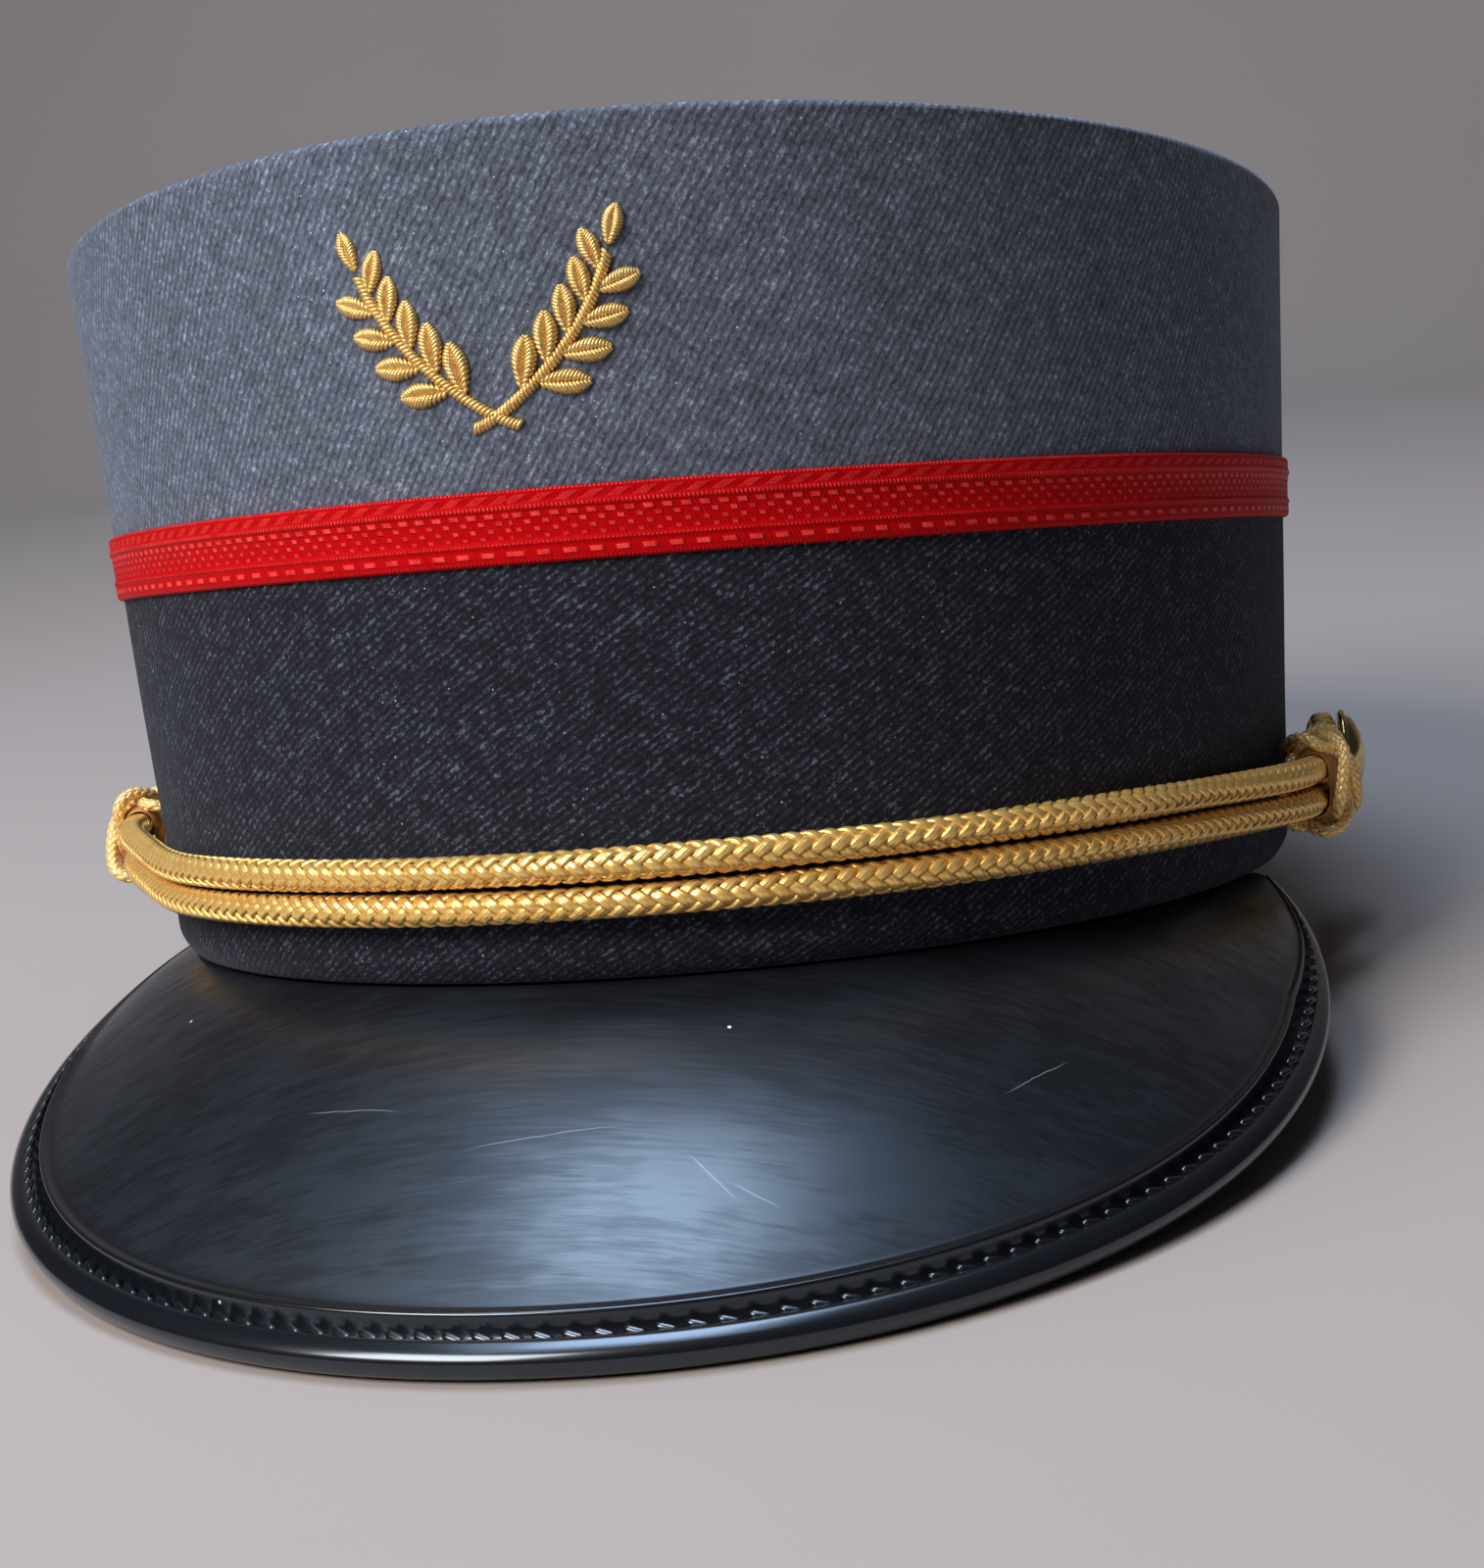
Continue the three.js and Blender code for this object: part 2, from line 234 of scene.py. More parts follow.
# A value carried from one range to another along a smooth step.
def easeRange(tree, value, low, high, fromValue=0.0, toValue=1.0):
    inputs = {"Value": value, "From Min": low, "From Max": high, "To Min": fromValue, "To Max": toValue}
    return addNode(tree, "MapRange", inputs, interpolation_type="SMOOTHSTEP").outputs[0]


def noise(tree, place, scale, detail=2.0, roughness=0.5):
    inputs = {"Vector": place, "Scale": scale, "Detail": detail, "Roughness": roughness}
    return addNode(tree, "TexNoise", inputs).outputs[0]


def newGroup(name, inputs, outputs):
    group = bpy.data.node_groups.new(name, "ShaderNodeTree")
    for label, kind in inputs.items():
        group.interface.new_socket(label, in_out="INPUT", socket_type="NodeSocket" + kind)
    for label in outputs:
        group.interface.new_socket(label, in_out="OUTPUT", socket_type="NodeSocketFloat")
    given = group.nodes.new("NodeGroupInput").outputs
    put = group.nodes.new("NodeGroupOutput").inputs
    return group, given, put


def useGroup(tree, group, inputs):
    node = tree.nodes.new("ShaderNodeGroup")
    node.node_tree = group
    for key, value in inputs.items():
        if isinstance(value, bpy.types.NodeSocket):
            tree.links.new(value, node.inputs[key])
        else:
            node.inputs[key].default_value = value
    return node.outputs


def weavePlace(tree):
    return addNode(tree, "UVMap", uv_map="weave").outputs[0]


# A new material with one Principled shader; constant values go on the shader's own sockets.
def newMaterial(name, **values):
    material = bpy.data.materials.new(name)
    material.use_nodes = True
    shader = material.node_tree.nodes["Principled BSDF"]
    for label, value in values.items():
        shader.inputs[label].default_value = value
    return material, material.node_tree, shader.inputs


def addBump(tree, height, distance, strength=1.0):
    inputs = {"Height": height, "Distance": distance, "Strength": strength}
    return addNode(tree, "Bump", inputs).outputs[0]


# How much each layer of the twill adds to its lightness, and the lightness where each colour takes over
twillLayers = {
    "ridge": 0.24,
    "tone": 0.4,
    "clumps": 0.55,
    "fibre": 1.15,
    "fibreRelief": 0.9,      # what the fibres add to the height instead
    "fibreScale": 2.9,       # for each mm
    "fibreStretch": 0.5,
    "clumpScale": 0.42,
    "mid": (0.64, 1.00),
    "light": (0.97, 1.30),
}


# Twill: diagonal wales with a half sine across that wander a little. A noise of its own along each wale makes
# short floats, and fine fibre noise drawn out along the wales lies over all; the lightness is their sum, with
# a broader noise that gathers the light fibres in clumps.
def makeTwill():
    labels = {"Place": "Vector", "Slope": "Float", "Spacing": "Float", "Float": "Float", "Wander": "Float"}
    group, given, put = newGroup("twillWeave", labels, ["Height", "Lightness"])
    slow = calc(group, "SUBTRACT", noise(group, given["Place"], 0.3), 0.5)
    quick = calc(group, "SUBTRACT", noise(group, given["Place"], 1.6), 0.5)
    stray = calc(group, "MULTIPLY", calc(group, "MULTIPLY_ADD", quick, 0.8, slow), given["Wander"])
    back = calc(group, "MULTIPLY", given["Slope"], -1.0)
    turned = addNode(group, "VectorRotate", {"Vector": given["Place"], "Angle": back},
                     rotation_type="Z_AXIS").outputs[0]
    parts = addNode(group, "SeparateXYZ", {0: turned}).outputs
    across = calc(group, "DIVIDE", calc(group, "ADD", parts[1], stray), given["Spacing"])
    wale = calc(group, "FLOOR", across)
    ridge = calc(group, "SINE", calc(group, "MULTIPLY", calc(group, "FRACT", across), math.pi))
    along = calc(group, "DIVIDE", parts[0], given["Float"])
    stretch = addNode(group, "CombineXYZ", {0: along, 1: calc(group, "MULTIPLY", wale, 7.3)}).outputs[0]
    tone = noise(group, stretch, 1.0, 2.0, 0.6)
    lengthwise = calc(group, "MULTIPLY", parts[0], twillLayers["fibreStretch"])
    drawn = addNode(group, "CombineXYZ", {0: lengthwise, 1: parts[1]}).outputs[0]
    fibre = noise(group, drawn, twillLayers["fibreScale"], 4.0, 0.75)
    weave = calc(group, "MULTIPLY", tone, twillLayers["tone"])
    weave = calc(group, "MULTIPLY_ADD", ridge, twillLayers["ridge"], weave)
    group.links.new(calc(group, "MULTIPLY_ADD", fibre, twillLayers["fibreRelief"], weave), put["Height"])
    clumps = noise(group, given["Place"], twillLayers["clumpScale"], 4.0, 0.65)
    clumps = calc(group, "SUBTRACT", clumps, 0.5)
    weave = calc(group, "MULTIPLY_ADD", clumps, twillLayers["clumps"], weave)
    group.links.new(calc(group, "MULTIPLY_ADD", fibre, twillLayers["fibre"], weave), put["Lightness"])
    return group


# Specks: round spots in a random share of the cells of a Voronoi pattern.
def makeSpecks():
    labels = {"Place": "Vector", "Scale": "Float", "Share": "Float", "Size": "Float"}
    group, given, put = newGroup("surfaceSpecks", labels, ["Mask"])
    cells = addNode(group, "TexVoronoi", {"Vector": given["Place"], "Scale": given["Scale"]})
    chance = addNode(group, "SeparateColor", {0: cells.outputs["Color"]}).outputs
    chosen = calc(group, "LESS_THAN", chance[0], given["Share"])
    radius = calc(group, "MULTIPLY", given["Size"], calc(group, "MULTIPLY_ADD", chance[1], 0.8, 0.3))
    near = calc(group, "LESS_THAN", cells.outputs["Distance"], radius)
    group.links.new(calc(group, "MULTIPLY", chosen, near), put["Mask"])
    return group


# Fine threads: waves across a strand that wind slowly along it, roughened by noise along their length.
def makeThreads():
    labels = {"Place": "Vector", "Count": "Float", "Winding": "Float"}
    group, given, put = newGroup("threadLines", labels, ["Height", "Tone"])
    parts = addNode(group, "SeparateXYZ", {0: given["Place"]}).outputs
    around = calc(group, "MULTIPLY", parts[1], given["Count"])
    lines = calc(group, "MULTIPLY_ADD", parts[0], given["Winding"], around)
    slow = calc(group, "MULTIPLY", parts[0], 0.35)
    stretched = addNode(group, "CombineXYZ", {0: slow, 1: lines}).outputs[0]
    rough = noise(group, stretched, 1.3, 3.0, 0.6)
    wave = calc(group, "SINE", calc(group, "MULTIPLY", lines, 2 * math.pi))
    group.links.new(calc(group, "MULTIPLY_ADD", wave, 0.3, rough), put["Height"])
    group.links.new(rough, put["Tone"])
    return group


# One row of a woven ribbon's floats: marks of a length at every period along, within a width of a level.
def makeFloatRow():
    labels = {label: "Float" for label in ("Level", "Width", "Period", "Length", "Phase", "Slant")}
    group, given, put = newGroup("floatRow", {"Place": "Vector", **labels}, ["Mask"])
    parts = addNode(group, "SeparateXYZ", {0: given["Place"]}).outputs
    above = calc(group, "SUBTRACT", parts[1], given["Level"])
    halfWidth = calc(group, "MULTIPLY", given["Width"], 0.5)
    fromMiddle = calc(group, "DIVIDE", calc(group, "ABSOLUTE", above), halfWidth)
    inRow = easeRange(group, fromMiddle, 0.55, 1.0, 1.0, 0.0)
    shifted = calc(group, "MULTIPLY_ADD", above, given["Slant"], parts[0])
    count = calc(group, "ADD", calc(group, "DIVIDE", shifted, given["Period"]), given["Phase"])
    apart = calc(group, "ABSOLUTE", calc(group, "SUBTRACT", calc(group, "FRACT", count), 0.5))
    halfLength = calc(group, "DIVIDE", calc(group, "MULTIPLY", given["Length"], 0.5), given["Period"])
    inMark = easeRange(group, calc(group, "DIVIDE", apart, halfLength), 0.6, 1.0, 1.0, 0.0)
    group.links.new(calc(group, "MULTIPLY", inRow, inMark), put["Mask"])
    return group


twillWeave = makeTwill()
surfaceSpecks = makeSpecks()
threadLines = makeThreads()
floatRow = makeFloatRow()

greyTwill = {
    "slope": 57.0,           # degrees from level
    "spacing": 1.02,         # mm between wales
    "float": 0.8,            # mm, length of the lighter and darker stretches
    "dark": (0.038, 0.044, 0.058, 1),
    "mid": (0.100, 0.117, 0.160, 1),
    "light": (0.34, 0.39, 0.505, 1),
    "lintGlintSpeck": (0.50, 0.54, 0.60, 1),
    "speckShare": 0.035,
    "sheen": 0.22,
}
navyTwill = {
    "slope": 33.0,
    "spacing": 0.95,
    "float": 0.8,
    "dark": (0.0040, 0.0040, 0.0070, 1),
    "mid": (0.0122, 0.0137, 0.0230, 1),
    "light": (0.140, 0.158, 0.218, 1),
    "lintGlintSpeck": (0.34, 0.37, 0.43, 1),
    "speckShare": 0.035,
    "sheen": 0.08,
}


# Wool twill: from dark between the wales to light on its floats, a few light specks that are partly lint and
# partly painted glints off fibres, and a nap.
def twillMaterial(name, look):
    material, tree, shader = newMaterial(name, **{
        "Roughness": 0.92, "Specular IOR Level": 0.25, "Sheen Weight": look["sheen"],
        "Sheen Roughness": 0.35, "Sheen Tint": (0.80, 0.86, 1.0, 1)})
    place = weavePlace(tree)
    weave = useGroup(tree, twillWeave, {
        "Place": place, "Slope": math.radians(look["slope"]), "Spacing": look["spacing"],
        "Float": look["float"], "Wander": 0.8})
    specks = useGroup(tree, surfaceSpecks, {
        "Place": place, "Scale": 1.6, "Share": look["speckShare"], "Size": 0.2})["Mask"]
    cloth = look["dark"]
    for tone in ("mid", "light"):
        cloth = mixColor(tree, easeRange(tree, weave["Lightness"], *twillLayers[tone]), cloth, look[tone])
    patches = easeRange(tree, noise(tree, place, 0.06, 3.0), 0.25, 0.75, 0.9, 1.1)
    cloth = addNode(tree, "VectorMath", {0: cloth, "Scale": patches}, operation="SCALE").outputs[0]
    # light specks: partly lint, partly painted glints off fibres
    tree.links.new(mixColor(tree, specks, cloth, look["lintGlintSpeck"]), shader["Base Color"])
    tree.links.new(addBump(tree, weave["Height"], 0.00014, 0.8), shader["Normal"])
    return material


greyCloth = twillMaterial("greyTwill", greyTwill)
navyCloth = twillMaterial("navyTwill", navyTwill)

galon = {
    "height": 8.6,
    "body": 0.62,            # mm, thickness of its flat parts
    "seatOffset": 0.12,
    "deep": (0.27, 0.0010, 0.0022, 1),
    "main": (0.62, 0.0035, 0.0065, 1),
    # painted highlight colour of the floats
    "bright": (1.0, 0.075, 0.062, 1),
    "rough": 0.58,
    "floatRough": 0.36,
    "edgeRound": 0.4,        # mm
}
# Rows of woven floats from the lower edge up, in mm: level, width, period, length, phase, slant, strength
galonRows = [
    (8.38, 0.46, 0.50, 0.30, 0.0, 0.0, 0.8),
    (7.45, 1.15, 3.00, 1.90, 0.2, -1.6, 0.35),
    (6.50, 0.62, 0.50, 0.31, 0.0, 0.15, 0.9),
    (5.62, 0.74, 2.15, 1.40, 0.0, 0.3, 1.0),
    (4.78, 0.64, 2.15, 0.95, 0.5, 0.3, 0.95),
    (3.92, 0.62, 2.15, 0.85, 0.0, 0.3, 0.8),
    (3.10, 0.55, 2.15, 0.75, 0.5, 0.3, 0.55),
    (2.35, 0.34, 0.50, 0.34, 0.0, 0.0, 0.6),
    (1.20, 0.80, 3.05, 1.90, 0.3, 0.2, 0.95),
    (0.25, 0.40, 0.50, 0.30, 0.0, 0.0, 0.35),
]
# Raised lines of the ribbon: level, half width and height in mm
galonRidges = [(6.5, 0.42, 0.30), (2.35, 0.30, 0.24), (7.75, 0.75, 0.10), (1.1, 1.0, 0.14), (5.6, 0.4, 0.06)]


# Silky red ribbon: the rows' floats are smoother and stand up, and carry a painted highlight, a brighter red
# that is uneven along them; fine warp ribs cross all of it.
def galonMaterial():
    material, tree, shader = newMaterial("redGalon", **{
        "Specular IOR Level": 0.15, "Specular Tint": (1.0, 0.10, 0.10, 1)})
    place = weavePlace(tree)
    floats = 0.0
    for level, width, period, length, phase, slant, strength in galonRows:
        mask = useGroup(tree, floatRow, {
            "Place": place, "Level": level, "Width": width, "Period": period, "Length": length,
            "Phase": phase, "Slant": slant})["Mask"]
        floats = calc(tree, "MAXIMUM", calc(tree, "MULTIPLY", mask, strength), floats)
    threads = useGroup(tree, threadLines, {"Place": place, "Count": 0.9, "Winding": 2.1})
    uneven = easeRange(tree, noise(tree, place, 0.55, 4.0, 0.7), 0.3, 0.7)
    red = mixColor(tree, calc(tree, "MULTIPLY", threads["Tone"], 1.15), galon["deep"], galon["main"])
    # painted highlight: the floats' red turns brighter, unevenly, in place of their shine
    paintedShine = calc(tree, "MULTIPLY", floats, calc(tree, "MULTIPLY_ADD", uneven, 0.8, 0.25))
    tree.links.new(mixColor(tree, paintedShine, red, galon["bright"]), shader["Base Color"])
    rough = easeRange(tree, floats, 0.0, 1.0, galon["rough"], galon["floatRough"])
    tree.links.new(rough, shader["Roughness"])
    height = calc(tree, "MULTIPLY_ADD", threads["Height"], 0.25, floats)
    tree.links.new(addBump(tree, height, 0.00022, 0.9), shader["Normal"])
    return material


redGalon = galonMaterial()

patent = {
    "black": (0.0060, 0.0065, 0.0085, 1),
    "worn": (0.0115, 0.0125, 0.0155, 1),
    "edgeGloss": 0.16,       # roughness of the bead and ridge
    "gloss": 0.35,           # roughness of the plate where it is clean
    "scuffed": 0.40,
    "edgeCoat": 0.5,
    "plateCoat": 0.75,       # where the plate is wiped most
    "mark": (0.30, 0.31, 0.34, 1),
    "dust": (0.75, 0.75, 0.72, 1),
    "markShare": 0.5,        # how far the scratches' colour shows
    "dustShare": 0.008,
    "cloudy": 0.55,          # shares of the clouds, wiping marks and fine lines in the marks
    "wiped": 0.45,
    "lined": 0.40,
    "haze": (0.58, 0.82),    # strength of the marks where the haze starts and is full
    "plateFrom": (6.6, 8.0), # mm from the outer edge, where the plate's finish takes over
    "hazeFrom": (6.6, 9.5),
}
# Larger scratches on the peak: place across and forward in mm, turn in degrees, length and width in mm
patentScratches = [
    (21.0, -112.0, -38.0, 9.0, 0.16),
    (26.0, -113.5, -20.0, 7.0, 0.13),
    (1.0, -108.0, 8.0, 22.0, 0.10),
    (-24.0, -101.0, -14.0, 15.0, 0.10),
    (55.0, -88.0, 52.0, 12.0, 0.09),
]


# One scratch: near to a line through a place at a turn, within its length, fading out towards both ends.
def makeScratch():
    labels = {label: "Float" for label in ("X", "Y", "Turn", "Length", "Width")}
    group, given, put = newGroup("scratchMark", {"Place": "Vector", **labels}, ["Mask"])
    middle = addNode(group, "CombineXYZ", {0: given["X"], 1: given["Y"]}).outputs[0]
    apart = addNode(group, "VectorMath", {0: given["Place"], 1: middle}, operation="SUBTRACT").outputs[0]
    back = calc(group, "MULTIPLY", given["Turn"], -1.0)
    turned = addNode(group, "VectorRotate", {"Vector": apart, "Angle": back},
                     rotation_type="Z_AXIS").outputs[0]
    parts = addNode(group, "SeparateXYZ", {0: turned}).outputs
    stray = calc(group, "SUBTRACT", noise(group, given["Place"], 0.3, 2.0), 0.5)
    aside = calc(group, "ABSOLUTE", calc(group, "MULTIPLY_ADD", stray, 0.6, parts[1]))
    onLine = easeRange(group, calc(group, "DIVIDE", aside, given["Width"]), 0.3, 1.0, 1.0, 0.0)
    within = calc(group, "DIVIDE", calc(group, "ABSOLUTE", parts[0]), given["Length"])
    within = easeRange(group, within, 0.2, 0.5, 1.0, 0.0)
    group.links.new(calc(group, "MULTIPLY", onLine, within), put["Mask"])
    return group


# Glossy black peak: wiping marks drawn out along X lie in a soft coat and roughen it a little, with a few
# scratches and some dust. Its bead, ridge and groove stay clean.
def patentMaterial():
    # The blue specular and coat tints paint a blue cast into every reflection on the peak.
    material, tree, shader = newMaterial("patentBlack", **{
        "Specular IOR Level": 0.6, "Specular Tint": (0.80, 0.90, 1.0, 1), "Coat Roughness": 0.26,
        "Coat Tint": (0.80, 0.90, 1.0, 1)})
    metres = addNode(tree, "TexCoord").outputs["Object"]
    place = addNode(tree, "VectorMath", {0: metres, "Scale": 1000.0}, operation="SCALE").outputs[0]
    drawn = addNode(tree, "Mapping", {"Vector": place, "Rotation": (0, 0, 0.10),
                                      "Scale": (0.055, 0.50, 0.2)}).outputs[0]
    fine = addNode(tree, "Mapping", {"Vector": place, "Rotation": (0, 0, -0.06),
                                     "Scale": (0.17, 2.4, 0.6)}).outputs[0]
    wiped = noise(tree, drawn, 1.0, 5.0, 0.65)
    lined = noise(tree, fine, 1.0, 3.0, 0.6)
    cloudy = noise(tree, place, 0.05, 4.0, 0.6)
    marks = calc(tree, "MULTIPLY", cloudy, patent["cloudy"])
    marks = calc(tree, "MULTIPLY_ADD", wiped, patent["wiped"], marks)
    marks = calc(tree, "MULTIPLY_ADD", lined, patent["lined"], marks)
    haze = easeRange(tree, marks, *patent["haze"])
    scratch = makeScratch()
    thin = 0.0
    for x, y, turn, length, width in patentScratches:
        mask = useGroup(tree, scratch, {"Place": place, "X": x, "Y": y, "Turn": math.radians(turn),
                                        "Length": length, "Width": width})["Mask"]
        thin = calc(tree, "MAXIMUM", thin, mask)
    dust = useGroup(tree, surfaceSpecks, {"Place": place, "Scale": 0.40, "Share": patent["dustShare"],
                                          "Size": 0.16})["Mask"]
    fromEdge = addNode(tree, "SeparateXYZ", {0: weavePlace(tree)}).outputs[1]
    haze = calc(tree, "MULTIPLY", haze, easeRange(tree, fromEdge, *patent["hazeFrom"]))
    onPlate = easeRange(tree, fromEdge, *patent["plateFrom"])
    black = mixColor(tree, haze, patent["black"], patent["worn"])
    black = mixColor(tree, calc(tree, "MULTIPLY", thin, patent["markShare"]), black, patent["mark"])
    tree.links.new(mixColor(tree, dust, black, patent["dust"]), shader["Base Color"])
    plate = easeRange(tree, haze, 0.0, 1.0, patent["gloss"], patent["scuffed"])
    tree.links.new(easeRange(tree, onPlate, 0.0, 1.0, patent["edgeGloss"], plate), shader["Roughness"])
    wiping = calc(tree, "MULTIPLY", haze, patent["plateCoat"])
    tree.links.new(easeRange(tree, onPlate, 0.0, 1.0, patent["edgeCoat"], wiping), shader["Coat Weight"])
    tree.links.new(addBump(tree, marks, 0.00002, 0.3), shader["Normal"])
    return material


patentBlack = patentMaterial()

goldLooks = {
    "cord": {"deep": (0.84, 0.43, 0.095, 1), "main": (1.0, 0.66, 0.21, 1), "smooth": 0.22, "rough": 0.38,
             "metal": 0.6, "count": 9.0, "winding": 0.0, "bump": 0.00005},
    # the knots' gold is a lighter, less metallic copy of the cord's: painted light where the knots lie in
    # shade
    "knot": {"deep": (0.96, 0.56, 0.18, 1), "main": (1.0, 0.70, 0.28, 1), "smooth": 0.24, "rough": 0.42,
             "metal": 0.3, "count": 5.0, "winding": 0.0, "bump": 0.00003},
    # the core's gold is a much darker copy: painted shade for the gaps between the knot's strands
    "core": {"deep": (0.30, 0.14, 0.03, 1), "main": (0.42, 0.21, 0.055, 1), "smooth": 0.45, "rough": 0.60,
             "metal": 0.4, "count": 1.0, "winding": 2.0, "bump": 0.00006},
    "thread": {"deep": (0.38, 0.19, 0.035, 1), "main": (0.92, 0.63, 0.23, 1), "smooth": 0.24, "rough": 0.48,
               "metal": 0.75, "count": 3.0, "winding": 2.2, "bump": 0.00004},
}


# Metallic thread: fine filaments along each strand, darker and rougher between them.
def goldMaterial(name, look):
    material, tree, shader = newMaterial(name, **{"Metallic": look["metal"]})
    place = weavePlace(tree)
    lines = useGroup(tree, threadLines, {"Place": place, "Count": look["count"], "Winding": look["winding"]})
    patches = noise(tree, place, 0.22, 2.0)
    share = easeRange(tree, calc(tree, "MULTIPLY_ADD", patches, 0.5, lines["Tone"]), 0.42, 0.85)
    tree.links.new(mixColor(tree, share, look["deep"], look["main"]), shader["Base Color"])
    rough = easeRange(tree, lines["Tone"], 0.25, 0.75, look["rough"], look["smooth"])
    tree.links.new(rough, shader["Roughness"])
    tree.links.new(addBump(tree, lines["Height"], look["bump"], 0.7), shader["Normal"])
    return material


goldCord = goldMaterial("goldCord", goldLooks["cord"])
litGoldKnot = goldMaterial("litGoldKnot", goldLooks["knot"])
shadedGoldCore = goldMaterial("shadedGoldCore", goldLooks["core"])
goldThread = goldMaterial("goldThread", goldLooks["thread"])


gilt = {
    "bright": (0.74, 0.52, 0.20, 1),
    "tarnished": (0.36, 0.23, 0.085, 1),
    "polished": 0.12,        # roughness
    "dull": 0.34,
}


# Gilt button: polished metal with cloudy tarnish and tiny dull pits.
def giltMaterial():
    material, tree, shader = newMaterial("giltMetal", **{"Metallic": 1.0})
    place = addNode(tree, "TexCoord").outputs["Object"]
    tarnish = easeRange(tree, noise(tree, place, 420.0, 4.0, 0.6), 0.4, 0.75)
    pits = useGroup(tree, surfaceSpecks, {
        "Place": place, "Scale": 1500.0, "Share": 0.08, "Size": 0.3})["Mask"]
    tree.links.new(mixColor(tree, tarnish, gilt["bright"], gilt["tarnished"]), shader["Base Color"])
    dull = calc(tree, "MAXIMUM", tarnish, pits)
    tree.links.new(easeRange(tree, dull, 0.0, 1.0, gilt["polished"], gilt["dull"]), shader["Roughness"])
    tree.links.new(addBump(tree, tarnish, 0.00002, 0.4), shader["Normal"])
    return material


giltMetal = giltMaterial()
print("materials made")

wallGrid = {"turns": 480, "waver": 0.10, "topWaver": 0.25}  # wavers in mm
turns = np.arange(wallGrid["turns"]) / wallGrid["turns"] * 2 * np.pi
turnColumn = turns[:, None]
rimLine = wallPoint(np.append(turns, 2 * np.pi), np.full(wallGrid["turns"] + 1, capSize["crownHeight"] / 2))
roundLength = lineLength(rimLine)  # mm round the crown, for the weave


# A wall piece: a section of heights and offsets for each turn, closed round and closed in section.
def wallPiece(name, heights, offsets, material, pressed=False):
    points = wallPoint(np.broadcast_to(turnColumn, heights.shape), heights, offsets)
    middle = points[0]
    up = lineLength(np.concatenate([middle, middle[:1]]))
    return gridPiece(name, points, gridUv(roundLength, up), material, closedRows=True, closedColumns=True,
                     pressed=pressed)


# Upper wall: straight up the outside, half round over the top edge, straight down the inside.
def makeCrownSide():
    low = capSize["braidLevel"] + capSize["seamGap"]
    edge = capSize["cloth"] / 2
    rim = topHeight(turnColumn) - edge
    share = np.linspace(0, 1, 36)
    arc = np.linspace(0, np.pi, 13)[1:-1]
    outer = lerp(low, rim, share)
    heights = np.concatenate([outer, rim + edge * np.sin(arc), outer[:, ::-3]], axis=1)
    proud = clothWaver(turnColumn, outer, wallGrid["waver"])
    over = np.tile(edge * (np.cos(arc) - 1), (len(turns), 1))
    inside = np.full_like(outer[:, ::-3], -capSize["cloth"])
    return wallPiece("crownSide", heights, np.concatenate([proud, over, inside], axis=1), greyCloth)


# Lower wall: its bottom edge curves in as the square of the way down, the rest goes straight up.
def makeBand():
    high = capSize["braidLevel"] - capSize["seamGap"]
    turnedHeight = capSize["rimTurnedHeight"]
    outer = np.concatenate([np.linspace(0, turnedHeight, 12)[1:-1], np.linspace(turnedHeight, high, 30)])
    turnedIn = -capSize["rimTurnedIn"] * (1 - np.minimum(outer / turnedHeight, 1)) ** 2
    underIn = -capSize["rimTurnedIn"] - np.linspace(0.8, 0.2, 6) * capSize["cloth"]
    heights = np.concatenate([outer, outer[::-2], np.full(len(underIn), capSize["fit"])])
    offsets = np.concatenate([turnedIn, turnedIn[::-2] - capSize["cloth"], underIn])
    heights, offsets = (np.tile(values, (len(turns), 1)) for values in (heights, offsets))
    proud = clothWaver(turnColumn, outer[None], wallGrid["waver"]) * smoothStep(outer, 2.0, 12.0)
    offsets[:, :len(outer)] += proud
    return wallPiece("band", heights, offsets, navyCloth, pressed=True)


# Top panel: rings that shrink towards the middle of the sunken plane, on its face and on its underside.
def makeCrownTop():
    faceShares = np.concatenate([np.linspace(0, 0.9, 10), [0.95, 0.985, 1.0]])
    underShares = [1.0, 0.9, 0.5, 0.0]
    faceDepth, underDepth = capSize["topSunk"], capSize["topSunk"] + capSize["topThickness"]
    inset = capSize["fit"] - capSize["cloth"]
    rings = []
    for shares, depth in ((faceShares, faceDepth), (underShares, underDepth)):
        rim = wallPoint(turns, topHeight(turns, depth, inset), inset)
        middle = np.array([0, 0, capSize["crownHeight"] - depth])
        rings += [middle + (rim - middle) * share for share in shares]
    points = np.stack(rings, axis=1)
    waver = wallGrid["topWaver"] * np.sin(points[..., 0] * 0.06 + 1) * np.sin(points[..., 1] * 0.05)
    points[..., 2] += waver * smoothStep(1 - np.concatenate([faceShares, underShares]), 0, 0.3)
    uv = np.concatenate([points, points[:1]])[..., :2]
    return gridPiece("crownTop", points, uv, greyCloth, closedRows=True, poles=True)


